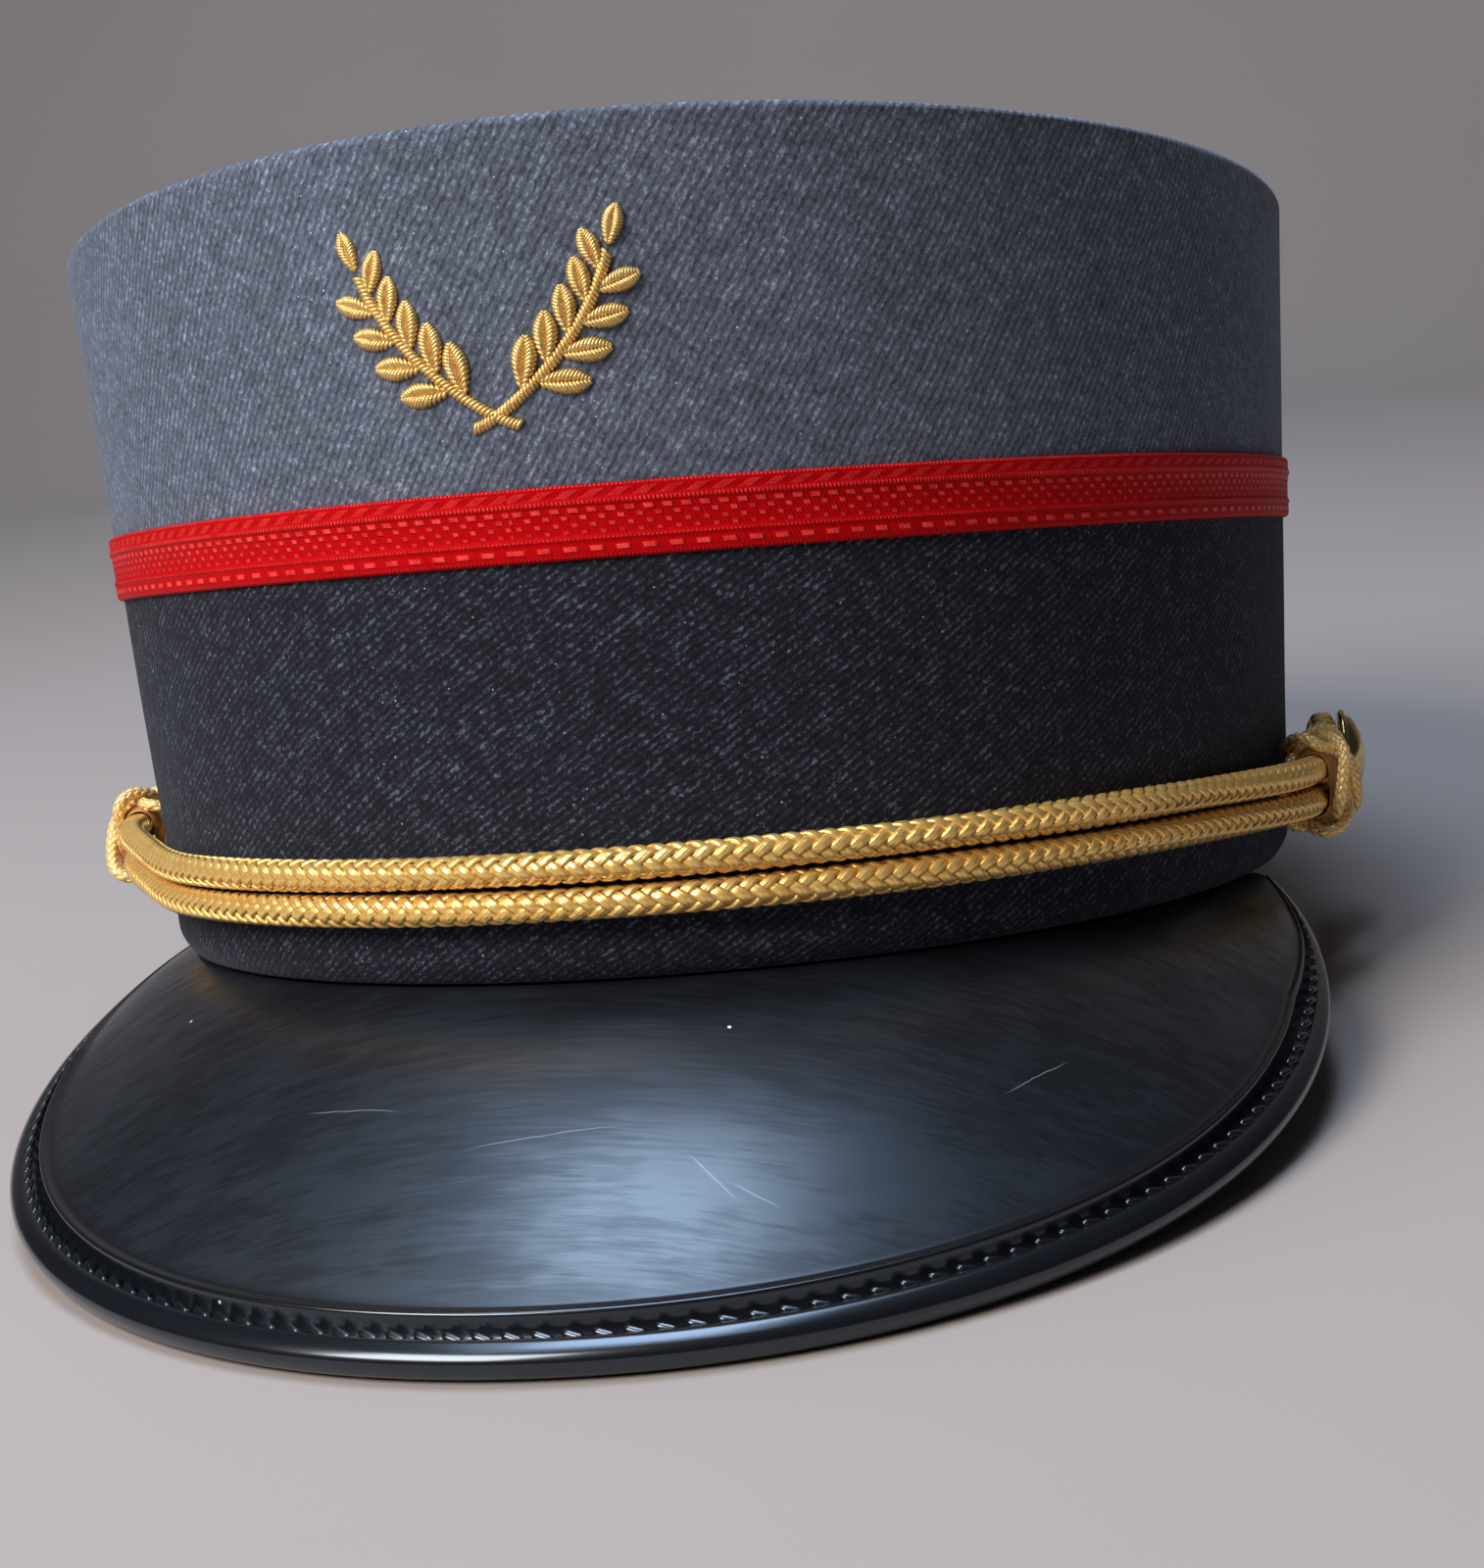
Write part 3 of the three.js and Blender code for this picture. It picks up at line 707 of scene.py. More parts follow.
# Woven ribbon: a flat strip with rounded edges and raised lines, each a bell curve about its level.
def makeBraid():
    level = capSize["braidLevel"] - capSize["braidSideFall"] * capSize["rimHalfWidth"] * np.sin(turnColumn)
    across = np.linspace(0, 1, 70)
    across = (across - np.sin(4 * np.pi * across) / (4 * np.pi) * 0.5) * galon["height"]
    toEdge = np.minimum(across, galon["height"] - across)
    face = galon["body"] * np.sqrt(1 - (1 - np.minimum(toEdge / galon["edgeRound"], 1)) ** 2)
    for ridgeLevel, halfWidth, height in galonRidges:
        face = face + height * np.exp(-((across - ridgeLevel) / halfWidth) ** 2)
    back = across[::-23]
    low = level - galon["height"] / 2
    heights = np.concatenate([low + across, low + back], axis=1)
    waver = clothWaver(turnColumn, capSize["braidLevel"], wallGrid["waver"])
    lifted = galon["seatOffset"] + face + waver
    offsets = np.concatenate([lifted, waver + 0 * back], axis=1)
    points = wallPoint(np.broadcast_to(turnColumn, heights.shape), heights, offsets)
    columns = np.concatenate([across, back - galon["height"] * 2, across[:1]])
    uv = gridUv(roundLength, columns)
    return gridPiece("braid", points, uv, redGalon, closedRows=True, closedColumns=True)


joinFrame(makeCrownSide(), "crown_side")
joinFrame(makeBand(), "band")
joinFrame(makeCrownTop(), "crown_top")
joinFrame(makeBraid(), "braid")
print("walls, top and braid made")

peak = {
    "turn": math.radians(77),
    "stations": 401,
    "reach": 44.5,
    "endReach": 3.0,
    "reachPower": 2.15,
    "slope": math.radians(38),
    "endSlope": math.radians(30),
    "bulge": 0.055,
    "thickness": (2.2, 1.4),     # in the middle and at the ends
    "bead": (2.1, 0.7),
    "beadPower": 0.78,           # of the sine and cosine over its top, 1 for a circle
    "beadArc": (140, -135),      # degrees, from the plate's face round to its underside
    "beadCover": 1.8,            # bead radii from the outer edge to where the plate goes into it
    "seam": 0.3,                 # below the rim
    "ridgeIn": 6.3,              # mm from the outer edge to the moulded ridge
    "ridgeHalfWidth": 0.70,
    "ridgeHeight": 0.72,
    "grooveDepth": 1.15,
    "grooveIn": 3.9,             # where the groove is deepest
    "edgeZone": (8.6, 4.6),      # mm from the edge, where the ridge and the groove lie
    "stitchIn": 3.75,
    "stitchEvery": 3.35,
    "stitchRaised": 0.30,
    "stitchHalfLength": 1.34,
    "stitchSlant": 0.50,
    "stitchHalfWidth": 0.52,
    "stitchHalfDepth": 0.34,
    "stitchTilt": 1.1,           # rise of the stitches' outward side for each mm out
    "stitchUntil": 0.93,         # station of the last one
    "flangeHeight": 8.0,
    "flangeThickness": 1.4,
}


# The peak at stations from -1 to 1 along it: its reach falls off as a power of the station, its slope eases
# towards the ends, and its plate bows up as a parabola. Gives places on the plate by share and depth.
class PeakPlate:
    def __init__(self, station):
        fade = np.abs(station)
        self.turn = station * peak["turn"]
        self.root = wallPoint(self.turn, 0.0 * self.turn, -capSize["rimTurnedIn"])
        self.outward = wallOutward(self.turn)
        self.thickness = lerp(*peak["thickness"], fade ** 4)
        self.bead = lerp(*peak["bead"], fade ** 4)
        self.reach = peak["endReach"] + (peak["reach"] - peak["endReach"]) * (1 - fade ** peak["reachPower"])
        self.drop = self.reach * np.tan(lerp(peak["slope"], peak["endSlope"], fade ** 4))
        self.rise = 4 * peak["bulge"] * self.reach
        self.length = np.hypot(self.reach, self.drop)
        # edge details shrink towards the ends, as far as the bead leaves them room
        self.detail = np.maximum(np.clip((self.length - 2) / 26, 0.1, 1), 0.42 * self.bead)

    def local(self, share, depth):
        slope = np.arctan2(self.drop - self.rise * (1 - 2 * share), self.reach)
        out = self.reach * share - depth * np.sin(slope)
        up = -peak["seam"] - self.drop * share + self.rise * share * (1 - share) - depth * np.cos(slope)
        return out, up, slope

    def place(self, out, up):
        points = self.root + self.outward * out[..., None]
        points[..., 2] = up
        return points

    # Height of the edge details over the plate: a ridge as a bell curve, and a groove that falls to the bead.
    def relief(self, share):
        fromEdge = (1 - share) * self.length / self.detail
        ridge = peak["ridgeHeight"] * np.exp(-((fromEdge - peak["ridgeIn"]) / peak["ridgeHalfWidth"]) ** 2)
        groove = -peak["grooveDepth"] * smoothStep(fromEdge, peak["ridgeIn"], peak["grooveIn"])
        return (ridge + groove) * self.detail


# Peak's section at each station: the sewing flange, the plate's face with its edge details, the bead as a
# round that is flatter over its top, and the plate's underside.
def makePeak():
    plate = PeakPlate(np.linspace(-1, 1, peak["stations"])[:, None])
    plateEnd = 1 - peak["beadCover"] * plate.bead / plate.length
    perShare = plate.detail / plate.length
    inner = np.linspace(0, 1, 45)[None, :-1] * (1 - peak["edgeZone"][0] * perShare)
    edge = 1 - np.linspace(*peak["edgeZone"], 41)[None] * perShare  # closer together over ridge and groove
    share = np.concatenate([inner, edge, lerp(edge[:, -1:], plateEnd, np.linspace(0.2, 1, 5)[None])], axis=1)
    top = plate.local(share, -plate.relief(share))
    underShare = np.linspace(1, 0, 24)[None]
    under = plate.local(underShare * plateEnd, plate.thickness)
    middle = plate.local(1 - plate.bead / plate.length, plate.thickness / 2)
    angle = np.radians(np.linspace(*peak["beadArc"], 36))[None]
    power = np.where(angle > 0, peak["beadPower"], 1.0)  # flatter over the top
    ahead = np.sign(np.cos(angle)) * np.abs(np.cos(angle)) ** power
    above = np.sign(np.sin(angle)) * np.abs(np.sin(angle)) ** power
    beadOut = middle[0] + plate.bead * (ahead * np.cos(middle[2]) + above * np.sin(middle[2]))
    beadUp = middle[1] + plate.bead * (above * np.cos(middle[2]) - ahead * np.sin(middle[2]))
    flangeOut = -capSize["rimTurnedIn"] - capSize["cloth"] - peak["seam"]
    flangeIn = flangeOut - peak["flangeThickness"]
    flat = np.zeros_like(plate.turn)
    flange = [wallPoint(plate.turn, flat + height, offset) for height, offset in (
        (peak["flangeHeight"], flangeIn), (peak["flangeHeight"], flangeOut), (-peak["seam"], flangeOut))]
    foot = wallPoint(plate.turn, flat - peak["seam"] - plate.thickness, flangeIn)
    outs = np.concatenate([top[0], beadOut, under[0]], axis=1)
    ups = np.concatenate([top[1], beadUp, under[1]], axis=1)
    points = np.concatenate([*flange, plate.place(outs, ups), foot], axis=1)
    fromEdge = np.full(points.shape[:2], -1.0)  # mm from the outer edge on the top, for the gloss
    fromEdge[:, len(flange):len(flange) + share.shape[1]] = (1 - share) / perShare
    ridgeColumn = 60
    along = np.broadcast_to(lineLength(points[:, ridgeColumn])[:, None], fromEdge.shape)
    uv = np.stack([along, fromEdge], axis=-1)
    uv = np.concatenate([uv, uv[:, :1]], axis=1)
    return gridPiece("peak", points, uv, patentBlack, closedColumns=True, capEnds=True)


# Stitches on the bead's inner side: short slanted capsules, one at each even step along the edge, whose width
# falls to their ends as a fifth power.
def makePeakStitches():
    plate = PeakPlate(np.linspace(-peak["stitchUntil"], peak["stitchUntil"], 1500)[:, None])
    share = 1 - peak["stitchIn"] * plate.detail / plate.length
    out, up, slope = plate.local(share, -peak["stitchRaised"] * plate.detail)
    line = plate.place(out, up)[:, 0]
    downhill = plate.outward[:, 0] * np.cos(slope)
    downhill[:, 2] = -np.sin(slope[:, 0])
    length = lineLength(line)
    count = int(length[-1] / peak["stitchEvery"])
    at = (np.arange(count) + 0.5) * length[-1] / count
    size = np.interp(at, length, plate.detail[:, 0])
    rows = np.linspace(-1, 1, 9)
    spots = at[:, None] + rows[None] * peak["stitchHalfLength"] * size[:, None]
    centre, slant, outward = (
        np.stack([np.interp(spots, length, values[:, k]) for k in range(3)], axis=-1)
        for values in (line, downhill, plate.outward[:, 0]))
    centre = centre + slant * (rows[None] * peak["stitchSlant"] * size[:, None])[..., None]
    outward[..., 2] = peak["stitchTilt"]
    swell = np.sqrt(1 - np.abs(rows * 0.985) ** 5) * size[:, None]
    sides = 10
    points = tubeRings(centre, outward, peak["stitchHalfWidth"] * swell, peak["stitchHalfDepth"] * swell,
                       sides, False)
    uv = np.broadcast_to(gridUv(rows, np.arange(sides + 1) / sides), (count, len(rows), sides + 1, 2))
    return gridPiece("peakStitches", points, uv, patentBlack, closedColumns=True, capEnds=True)


joinFrame(makePeak(), "peak")
joinFrame(makePeakStitches(), "peak")
print("peak made")

chinCord = {
    "radius": 2.1,
    "spacing": 4.5,              # between the middles of the two runs
    "level": 12.3,
    "rest": 2.4,                 # middle above the cloth where the cord lies on it
    "lift": 5.4,                 # and where the knots and buttons hold it off
    "loopRadius": 4.8,           # round the button's shank
    "strands": 6,                # wound each way
    "turnsOfBraid": 49,          # of each strand over the whole loop
    "slowTwist": 2,              # turns of the whole braid over the loop
    "strandHalfWidth": 0.78,
    "strandHalfDepth": 0.30,
    "weaveDepth": 0.33,
    "steps": 1380,
}
knot = {
    "length": 12.0,
    "leads": 3,
    "bights": 4,
    "weave": 0.85,               # mm in and out
    "swell": 0.2,
    "core": 0.9,                 # thickness of the sleeve under it
    "coreHalfLength": 5.04,
    "coreRound": 30.0,
    "steps": 520,
}
# The thinner cord that the knots are tied from, braided in the same way
knotCord = {
    "radius": 0.95,
    "strands": 6,
    "turnsOfBraid": 20,
    "slowTwist": 1,
    "strandHalfWidth": 0.40,
    "strandHalfDepth": 0.16,
    "weaveDepth": 0.16,
    "steps": 600,
}
button = {
    "diameter": 14.0,
    "dome": 3.8,
    "lip": 0.9,
    "roll": 0.55,                # radius of the lip's rolled edge
    "shank": 4.4,
    "underside": 8.0,            # from the cloth
    "sides": 64,
}
# Where the knots and the side buttons sit: side, turns in degrees and levels above the rim
cordEnds = {
    "Left": {"side": -1, "knotTurn": 75.0, "knotLevel": 15.0, "buttonTurn": 92.0, "buttonLevel": 16.5},
    "Right": {"side": 1, "knotTurn": 82.0, "knotLevel": 11.4, "buttonTurn": 95.0, "buttonLevel": 13.2},
}


# Middle line of the cord's two runs at a turn: level across the front, lifted where the knot wraps it, and
# level with the button at its end.
def cordLine(turn, end):
    degrees = np.degrees(np.abs(turn))
    knotHalf = math.degrees(knot["length"] / 2 / capSize["rimHalfLength"])
    toKnot = smoothStep(degrees, end["knotTurn"] * 0.55, end["knotTurn"])
    toButton = smoothStep(degrees, end["knotTurn"] + knotHalf, end["buttonTurn"])
    level = lerp(lerp(chinCord["level"], end["knotLevel"], toKnot), end["buttonLevel"], toButton)
    lifted = smoothStep(degrees, end["knotTurn"] * 0.7, end["knotTurn"] * 0.95)
    return level, lerp(chinCord["rest"], chinCord["lift"], lifted)


# The cord's closed loop: for each side a run out from the front that spreads from half the spacing to the
# loop's radius, a half circle round the shank, and the run back.
def cordLoop():
    line, outward = [], []
    for end in cordEnds.values():
        side = end["side"]
        last = math.radians(end["buttonTurn"])
        knotEnd = math.radians(end["knotTurn"]) + knot["length"] / 2 / capSize["rimHalfLength"]
        run = np.linspace(0, last, 240)[:-1]
        spread = lerp(chinCord["spacing"] / 2, chinCord["loopRadius"], smoothStep(run, knotEnd, last))
        arc = np.linspace(np.pi / 2, -np.pi / 2, 40)
        angle = np.concatenate([run, last + chinCord["loopRadius"] * np.cos(arc) / capSize["rimHalfLength"],
                                run[::-1]])
        up = np.concatenate([spread, chinCord["loopRadius"] * np.sin(arc), -spread[::-1]])
        level, offset = cordLine(angle, end)
        line.append(wallPoint(side * angle, level + side * up, offset)[:-1])
        outward.append(wallOutward(side * angle)[:-1])
    return np.concatenate(line), np.concatenate(outward)


# A closed line taken at even steps of its length, with its outward directions and its whole length.
def evenLoop(line, outward, steps):
    line, outward = (np.concatenate([values, values[:1]]) for values in (line, outward))
    length = lineLength(line)
    at = np.arange(steps) / steps * length[-1]
    line, outward = (np.stack([np.interp(at, length, values[:, k]) for k in range(3)], axis=-1)
                     for values in (line, outward))
    return line, outward, length[-1]


# Braided tube round a closed line: two sets of strands wound opposite ways. Each strand's radius follows a
# sine of its place round the tube, out for one set where it is in for the other, so that it goes over two and
# under two.
def braidedTube(line, outward, total, look):
    along = np.roll(line, -1, axis=0) - np.roll(line, 1, axis=0)
    along /= np.linalg.norm(along, axis=1, keepdims=True)
    out = outward - along * np.sum(along * outward, axis=1, keepdims=True)
    out /= np.linalg.norm(out, axis=1, keepdims=True)
    aside = np.cross(along, out)
    share = np.arange(look["steps"] + 1) / look["steps"]
    middle = look["radius"] - look["weaveDepth"] - look["strandHalfDepth"]
    start = np.arange(look["strands"])[:, None] / look["strands"] * 2 * np.pi
    strands, ways = [], []
    for winding in (1, -1):
        angle = winding * look["turnsOfBraid"] * share[None, :-1] * 2 * np.pi + start
        radius = middle + winding * look["weaveDepth"] * np.sin(look["strands"] / 2 * angle + np.pi / 4)
        angle = angle + look["slowTwist"] * share[None, :-1] * 2 * np.pi
        way = np.cos(angle)[..., None] * out + np.sin(angle)[..., None] * aside
        strands.append(line + way * radius[..., None])
        ways.append(way)
    strands, ways = np.concatenate(strands), np.concatenate(ways)
    sides = 6
    points = tubeRings(strands, ways, look["strandHalfWidth"], look["strandHalfDepth"], sides, True)
    uv = gridUv(share * total, np.arange(sides + 1) / sides)
    return points, np.broadcast_to(uv, (len(points), *uv.shape))


# Chin cord: the braided tube round the cord's whole loop.
def makeChinCord():
    line, outward, total = evenLoop(*cordLoop(), chinCord["steps"])
    print(f"  cord loop {total:.1f} mm long")
    points, uv = braidedTube(line, outward, total, chinCord)
    return gridPiece("chinCord", points, uv, goldCord, closedRows=True, closedColumns=True)


# Places on the wall by a turn and a level: along the wall, outward from it and up, in millimetres.
def onWall(turn, level, along, outward, up):
    out = wallOutward(turn)
    side = np.cross(out, [0, 0, 1])
    origin = wallPoint(turn, level)
    return origin + along[..., None] * side + outward[..., None] * out + up[..., None] * np.array([0, 0, 1])


# Sliding knot: a thin cord goes three times round both runs while it swings four times from end to end as a
# cosine, and its height over the runs follows a sine of twice that, so it weaves over and under itself.
def makeKnot(label, end):
    s = np.arange(knot["steps"]) / knot["steps"] * 2 * np.pi
    angle = knot["leads"] * s
    swing = np.cos(knot["bights"] * s)
    weave = np.sin(2 * knot["bights"] * s)
    hole = chinCord["radius"] + 0.15
    radius = hole + knotCord["radius"] + knot["weave"] * (1 + weave) + knot["swell"] * (1 - swing ** 2)
    half = chinCord["spacing"] / 2 * np.tanh(4 * np.sin(angle))  # round ends about each run, straight between
    reach = knot["length"] / 2 - knotCord["radius"]
    line = np.stack([reach * swing, radius * np.cos(angle), half + radius * np.sin(angle)], axis=-1)
    around = np.stack([0 * angle, np.cos(angle), np.sin(angle)], axis=-1)
    rings, uv = braidedTube(*evenLoop(line, around, knotCord["steps"]), knotCord)
    turn = end["side"] * math.radians(end["knotTurn"])
    points = onWall(turn, end["knotLevel"], rings[..., 0], chinCord["lift"] + rings[..., 1], rings[..., 2])
    return gridPiece("knot" + label, points, uv, litGoldKnot, closedRows=True, closedColumns=True)


# Core under a knot's cord: a sleeve round both runs whose outside falls to its ends as a sixth power; its
# dark gold is painted shade seen through the knot's gaps.
def makeKnotCore(label, end):
    sides = 64
    angle = np.arange(sides)[:, None] / sides * 2 * np.pi
    share = np.linspace(-1, 1, 17)[None]
    hole = chinCord["radius"] + 0.1 + 0 * share
    outer = hole + 0.1 + knot["core"] * (1 - share ** 6)
    radius = np.concatenate([outer, hole[:, ::-1]], axis=1)
    along = np.concatenate([share, share[:, ::-1]], axis=1) * knot["coreHalfLength"] + 0 * angle
    half = chinCord["spacing"] / 2 * np.tanh(4 * np.sin(angle))
    turn = end["side"] * math.radians(end["knotTurn"])
    points = onWall(turn, end["knotLevel"], along, chinCord["lift"] + radius * np.cos(angle),
                    half + radius * np.sin(angle))
    uv = gridUv(np.arange(sides + 1) / sides * knot["coreRound"], np.arange(radius.shape[1] + 1) * 0.4)
    return gridPiece("knotCore" + label, points, uv, shadedGoldCore, closedRows=True, closedColumns=True)


# Domed button turned about its axis: shank, flat underside, rolled lip with a fine groove, and a dome that
# is a quarter ellipse.
def makeButton(label, end):
    radius, under, lip = button["diameter"] / 2, button["underside"], button["lip"]
    quarter = np.linspace(0, np.pi / 2, 15)[1:]
    lipArc = np.linspace(-np.pi / 2, np.pi / 2, 9)
    inner = radius - lip
    domeUp = under + lip + (button["dome"] - lip) * np.sin(quarter)
    dome = np.stack([inner * np.cos(quarter), domeUp], axis=-1)
    roll = button["roll"]
    rolled = np.stack([radius - roll + roll * np.cos(lipArc), under + roll + roll * np.sin(lipArc)], axis=-1)
    shank = button["shank"] / 2
    foot = np.array([[0, 0.05], [shank, 0.05], [shank, 2.0], [shank, under - 0.1], [shank + 0.3, under]])
    groove = [[inner + 0.02, under + lip - 0.12]]
    profile = np.concatenate([foot, [[inner * 0.8, under]], rolled, groove, dome])
    profile[-1, 0] = 0
    angle = np.arange(button["sides"])[:, None] / button["sides"] * 2 * np.pi
    turn = end["side"] * math.radians(end["buttonTurn"])
    across, out = profile[None, :, 0], profile[None, :, 1] + 0 * angle
    points = onWall(turn, end["buttonLevel"], across * np.cos(angle), out, across * np.sin(angle))
    around = np.arange(button["sides"] + 1) / button["sides"] * np.pi * button["diameter"]
    uv = gridUv(around, lineLength(profile))
    return gridPiece("button" + label, points, uv, giltMetal, closedRows=True, poles=True)


joinFrame(makeChinCord(), "chin_cord")
for label, end in cordEnds.items():
    joinFrame(makeKnot(label, end), "knot_" + label.lower())
    joinFrame(makeKnotCore(label, end), "knot_" + label.lower())
    joinFrame(makeButton(label, end), "button_" + label.lower())
print("cord, knots and buttons made")

spray = {
    "level": 76.5,               # its middle above the rim, at the front
    "leafPairs": 5,
    "leafLength": (7.6, 5.2),    # from the foot of a branch to its tip
    "leafWidth": 0.40,           # share of the length
    "threadsPerSide": 13,
    "threadRadius": 0.27,
    "relief": 0.75,
    "foot": (-2.6, -10.5),       # where a branch starts, sideways past the middle and up
    "sweep": (17.5, 19.0),       # and how far it goes
    "bend": 1.25,                # radians of the sine that it bends by
    "leafLean": 42.0,            # degrees from the branch
    "leafEvery": 0.155,          # share of the branch
    "stemThreads": 52,
    "stemHalfWidth": 0.55,
    "stemRelief": 0.5,
}


# A branch of the spray, in mm sideways and up: it starts across the middle, goes out as a sine and up as a
# power of the share along it.
def branchPoint(q, side):
    sideways = spray["foot"][0] + spray["sweep"][0] * np.sin(spray["bend"] * q) / math.sin(spray["bend"])
    return np.stack([side * sideways, spray["foot"][1] + spray["sweep"][1] * q ** 1.3], axis=-1)


# Satin stitches between two sets of points on the wall: each thread arches up as a half sine between them.
def satinThreads(starts, ends, relief):
    share = np.linspace(0, 1, 9)[None, :, None]
    flat = starts[:, None] + (ends - starts)[:, None] * share
    arch = spray["threadRadius"] * 0.3 + relief[:, None] * np.sin(np.pi * share[..., 0]) ** 0.7
    line = np.concatenate([flat, arch[..., None]], axis=-1)
    rings = tubeRings(line, np.array([0.0, 0.0, 1.0]) + 0 * line, spray["threadRadius"],
                      spray["threadRadius"], 6, False)
    turn = rings[..., 0] / (capSize["rimHalfWidth"] + capSize["sideLean"] * 0.8)
    return wallPoint(turn, spray["level"] + 0.987 * rings[..., 1], rings[..., 2])


# Embroidered spray of two leafy branches: each leaf has a midrib with slanted threads to both sides, whose
# length follows a sine along the leaf; the stems are short threads wound across the branch.
def makeSpray():
    starts, ends, relief = [], [], []
    pairs = np.arange(spray["leafPairs"])
    t = (np.arange(spray["threadsPerSide"]) + 0.5) / spray["threadsPerSide"]
    for side in (-1, 1):
        up = spray["leafEvery"] * pairs
        q = np.concatenate([0.26 + up, 0.33 + up[:-1], [0.99]])  # leaves inside, outside and at the tip
        lean = spray["leafLean"] * np.concatenate([np.ones(len(pairs)), -np.ones(len(pairs) - 1), [0.0]])
        foot = branchPoint(q, side)
        tangent = branchPoint(q + 0.01, side) - foot
        heading = np.arctan2(tangent[:, 1], tangent[:, 0]) + side * np.radians(lean)
        length = lerp(*spray["leafLength"], q)
        along = np.stack([np.cos(heading), np.sin(heading)], axis=-1)
        across = np.stack([-np.sin(heading), np.cos(heading)], axis=-1)
        rib = foot[:, None] + along[:, None] * (0.10 + 0.86 * t[None, :, None]) * length[:, None, None]
        half = length[:, None] * spray["leafWidth"] / 2 * np.sin(np.pi * (0.06 + 0.9 * t) ** 0.85)[None]
        for edge in (-1, 1):
            away = across[:, None] * (edge * half)[..., None] + along[:, None] * (0.75 * half)[..., None]
            starts.append(rib.reshape(-1, 2))
            ends.append((rib + away).reshape(-1, 2))
            relief.append((spray["relief"] * half / half.max()).ravel())
        stem = np.linspace(0.0, 0.97, spray["stemThreads"])
        middle = branchPoint(stem, side)
        way = branchPoint(stem + 0.01, side) - middle
        way /= np.linalg.norm(way, axis=1, keepdims=True)
        wound = spray["stemHalfWidth"] * (np.stack([-way[:, 1], way[:, 0]], axis=-1) + 0.6 * way)
        starts.append(middle - wound)
        ends.append(middle + wound)
        relief.append(np.full(len(stem), spray["stemRelief"]))
    points = satinThreads(np.concatenate(starts), np.concatenate(ends), np.concatenate(relief))
    uv = gridUv(np.linspace(0, 4, 9), np.arange(7) / 6)
    uv = np.broadcast_to(uv, (len(points), *uv.shape)) + np.arange(len(points))[:, None, None, None] * 3.7
    return gridPiece("frontSpray", points, uv, goldThread, closedColumns=True, capEnds=True)


frontSpray = makeSpray()
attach(frontSpray, "root")
print("spray made")

stage = {
    "color": (0.34, 0.285, 0.262, 1),
    "grain": (0.6, 0.59, 0.6, 1),
    "front": -3.0,
    "bend": 0.85,                # m behind the cap, where the floor starts to rise
    "bendRadius": 0.45,
    "height": 2.4,
    "halfWidth": 3.2,
    "below": 0.0002,             # floor under the cap
}


# Pale sweep: a level floor that bends up through a quarter circle into a wall.
def makeStage():
    arc = np.linspace(0, np.pi / 2, 24)
    y = np.concatenate([[stage["front"]], stage["bend"] + stage["bendRadius"] * np.sin(arc),
                        [stage["bend"] + stage["bendRadius"]]])
    z = np.concatenate([[0], stage["bendRadius"] * (1 - np.cos(arc)), [stage["height"]]]) - stage["below"]
    x = np.array([-1.0, 1.0]) * stage["halfWidth"]
    points = np.stack([np.broadcast_to(x[:, None], (2, len(y))), np.broadcast_to(y, (2, len(y))),
                       np.broadcast_to(z, (2, len(y)))], axis=-1).reshape(-1, 3)
    column = np.arange(len(y) - 1)
    faces = np.stack([column, column + len(y), column + len(y) + 1, column + 1], axis=-1)
    mesh = bpy.data.meshes.new("paleSweep")
    mesh.from_pydata(points.tolist(), [], faces.tolist())
    mesh.polygons.foreach_set("use_smooth", np.ones(len(faces), bool))
    material, tree, shader = newMaterial("paleFloor", **{"Roughness": 0.85})
    grain = noise(tree, addNode(tree, "TexCoord").outputs["Object"], 3.0, 3.0)
    tint = mixColor(tree, easeRange(tree, grain, 0.3, 0.7, 0.0, 0.06), stage["color"], stage["grain"])
    tree.links.new(tint, shader["Base Color"])
    mesh.materials.append(material)
    floor = bpy.data.objects.new("paleSweep", mesh)
    bpy.context.scene.collection.objects.link(floor)


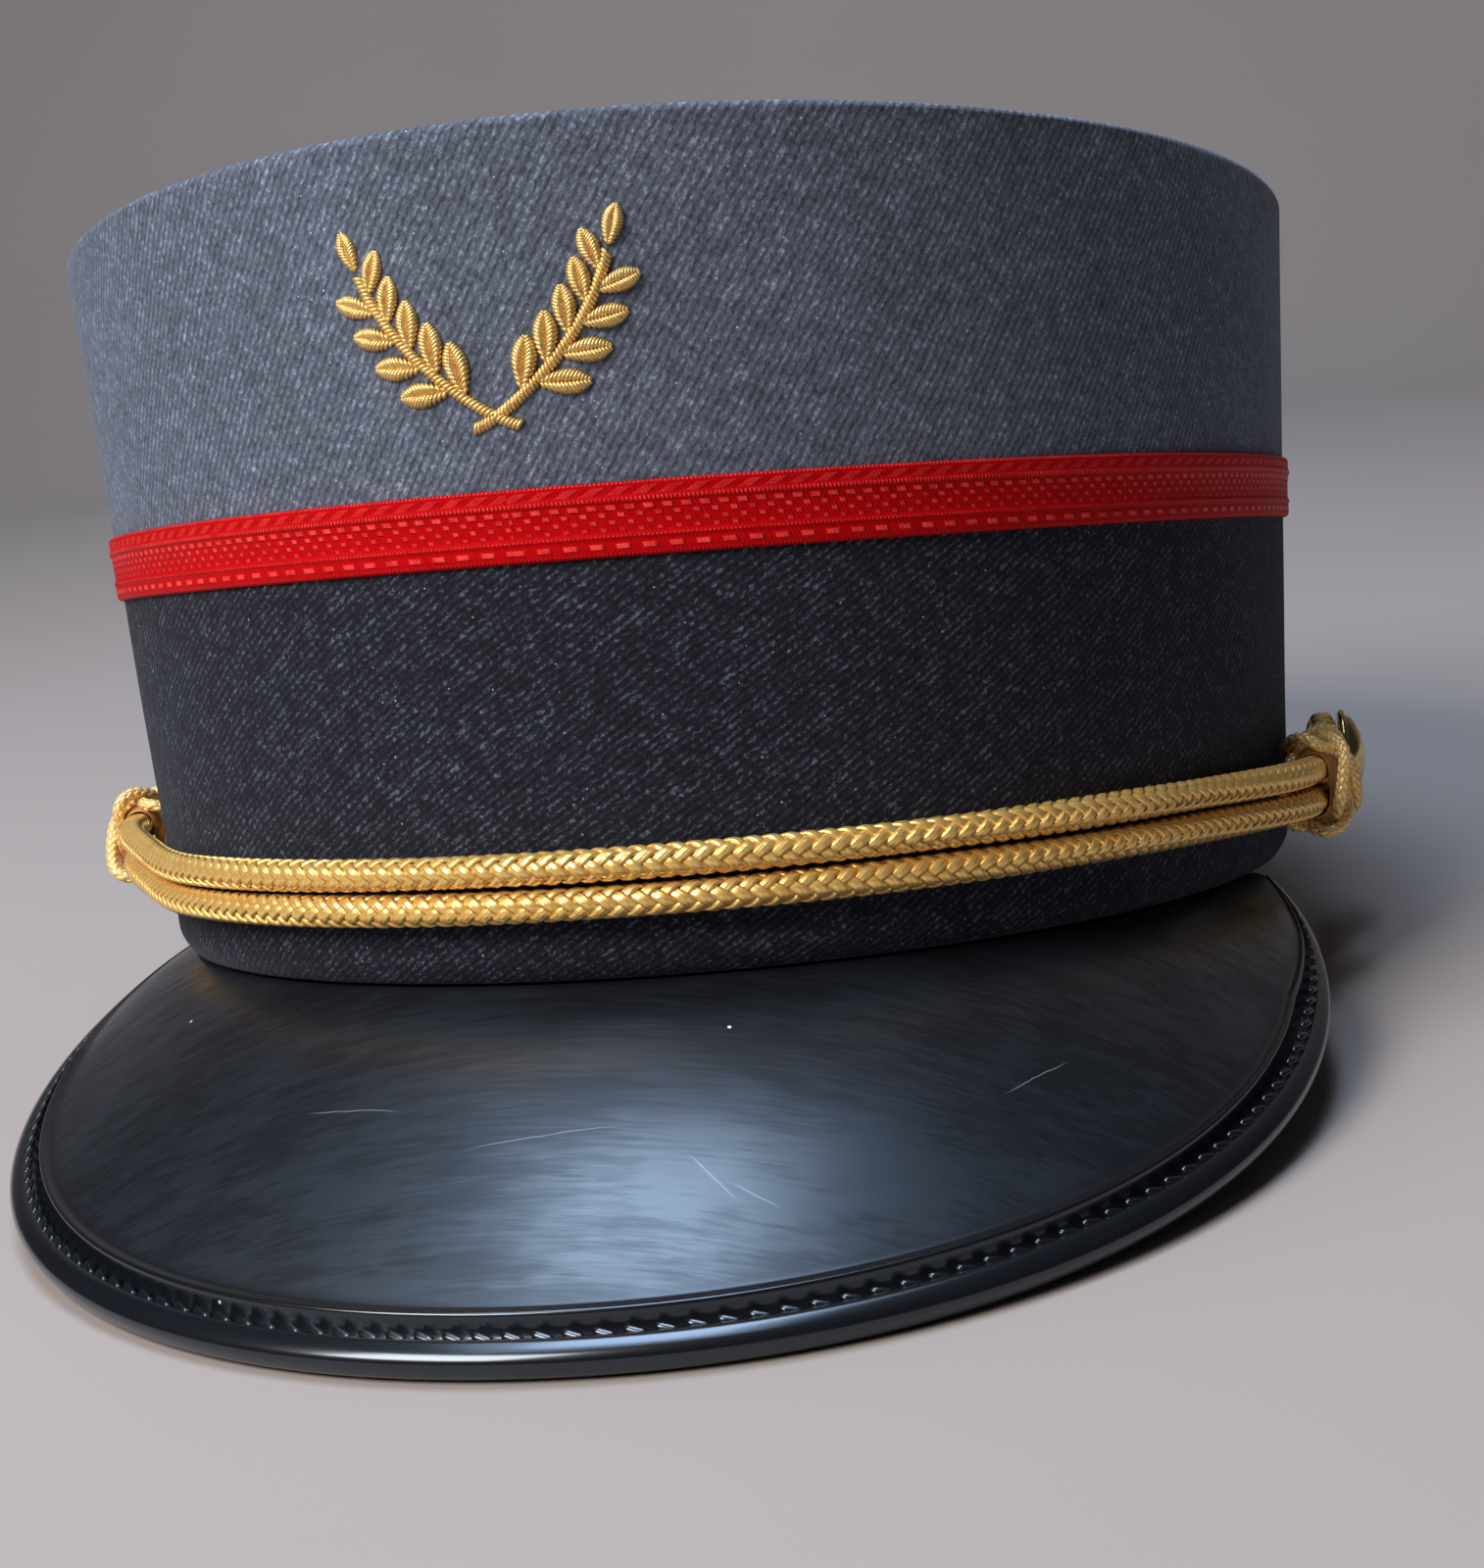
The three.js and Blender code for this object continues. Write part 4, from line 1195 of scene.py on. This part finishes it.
# Soft lights: place and size in metres, power in watts. An aimed one turns to the target, others face down.
lights = {
    "keyLeft": {"place": (-0.51, -0.79, 0.85), "size": (0.6, 0.6), "power": 18.5,
                "color": (1.0, 0.975, 0.95), "aimed": True},
    "overhead": {"place": (-0.10, 0.02, 1.15), "size": (0.40, 0.62), "power": 7.0,
                 "color": (0.58, 0.76, 1.0), "aimed": False},
    "overheadWide": {"place": (-0.12, 0.02, 1.2), "size": (0.68, 0.90), "power": 6.0,
                     "color": (0.62, 0.78, 1.0), "aimed": False},
}
lightTarget = Vector((0.0, -0.02, 0.06))
room = {"color": (0.80, 0.83, 0.90, 1), "strength": 0.035}


def makeLights():
    for name, look in lights.items():
        lamp = bpy.data.lights.new(name, "AREA")
        lamp.shape = "RECTANGLE"
        lamp.size, lamp.size_y = look["size"]
        lamp.energy, lamp.color = look["power"], look["color"]
        holder = bpy.data.objects.new(name, lamp)
        holder.location = look["place"]
        if look["aimed"]:
            holder.rotation_euler = (lightTarget - holder.location).to_track_quat("-Z", "Y").to_euler()
        bpy.context.scene.collection.objects.link(holder)
    world = bpy.data.worlds.new("softRoom")
    world.use_nodes = True
    background = world.node_tree.nodes["Background"].inputs
    background["Color"].default_value = room["color"]
    background["Strength"].default_value = room["strength"]
    bpy.context.scene.world = world


# The photograph's camera in the cap's own frame: place in mm, turns in degrees, focal length in pixels.
view = {
    "place": (91.63, -418.02, 45.08),
    "yaw": -12.292,
    "pitch": -3.966,
    "roll": -4.570,
    "focalPixels": 2814.7,
    "longSidePixels": 1600,
    "sensor": 36.0,
}


def makeCamera():
    yaw, pitch, roll = (math.radians(view[key]) for key in ("yaw", "pitch", "roll"))
    ahead = np.array([math.sin(yaw) * math.cos(pitch), math.cos(yaw) * math.cos(pitch), math.sin(pitch)])
    level = np.array([math.cos(yaw), -math.sin(yaw), 0])
    upright = np.cross(level, ahead)
    right = math.cos(roll) * level + math.sin(roll) * upright
    up = math.cos(roll) * upright - math.sin(roll) * level
    turned = np.stack([right, up, -ahead]) @ tipRows.T
    lens = bpy.data.cameras.new("photoView")
    lens.sensor_width = view["sensor"]
    lens.lens = view["sensor"] * view["focalPixels"] / view["longSidePixels"]
    lens.clip_start = 0.01
    camera = bpy.data.objects.new("photoView", lens)
    place = Matrix(turned.T.tolist()).to_4x4()
    place.translation = Vector(seat(np.array(view["place"])).tolist())
    camera.matrix_world = place
    bpy.context.scene.collection.objects.link(camera)
    bpy.context.scene.camera = camera


makeStage()
makeLights()
makeCamera()
bpy.context.scene.view_settings.view_transform = "Standard"
print("stage, lights and camera made")
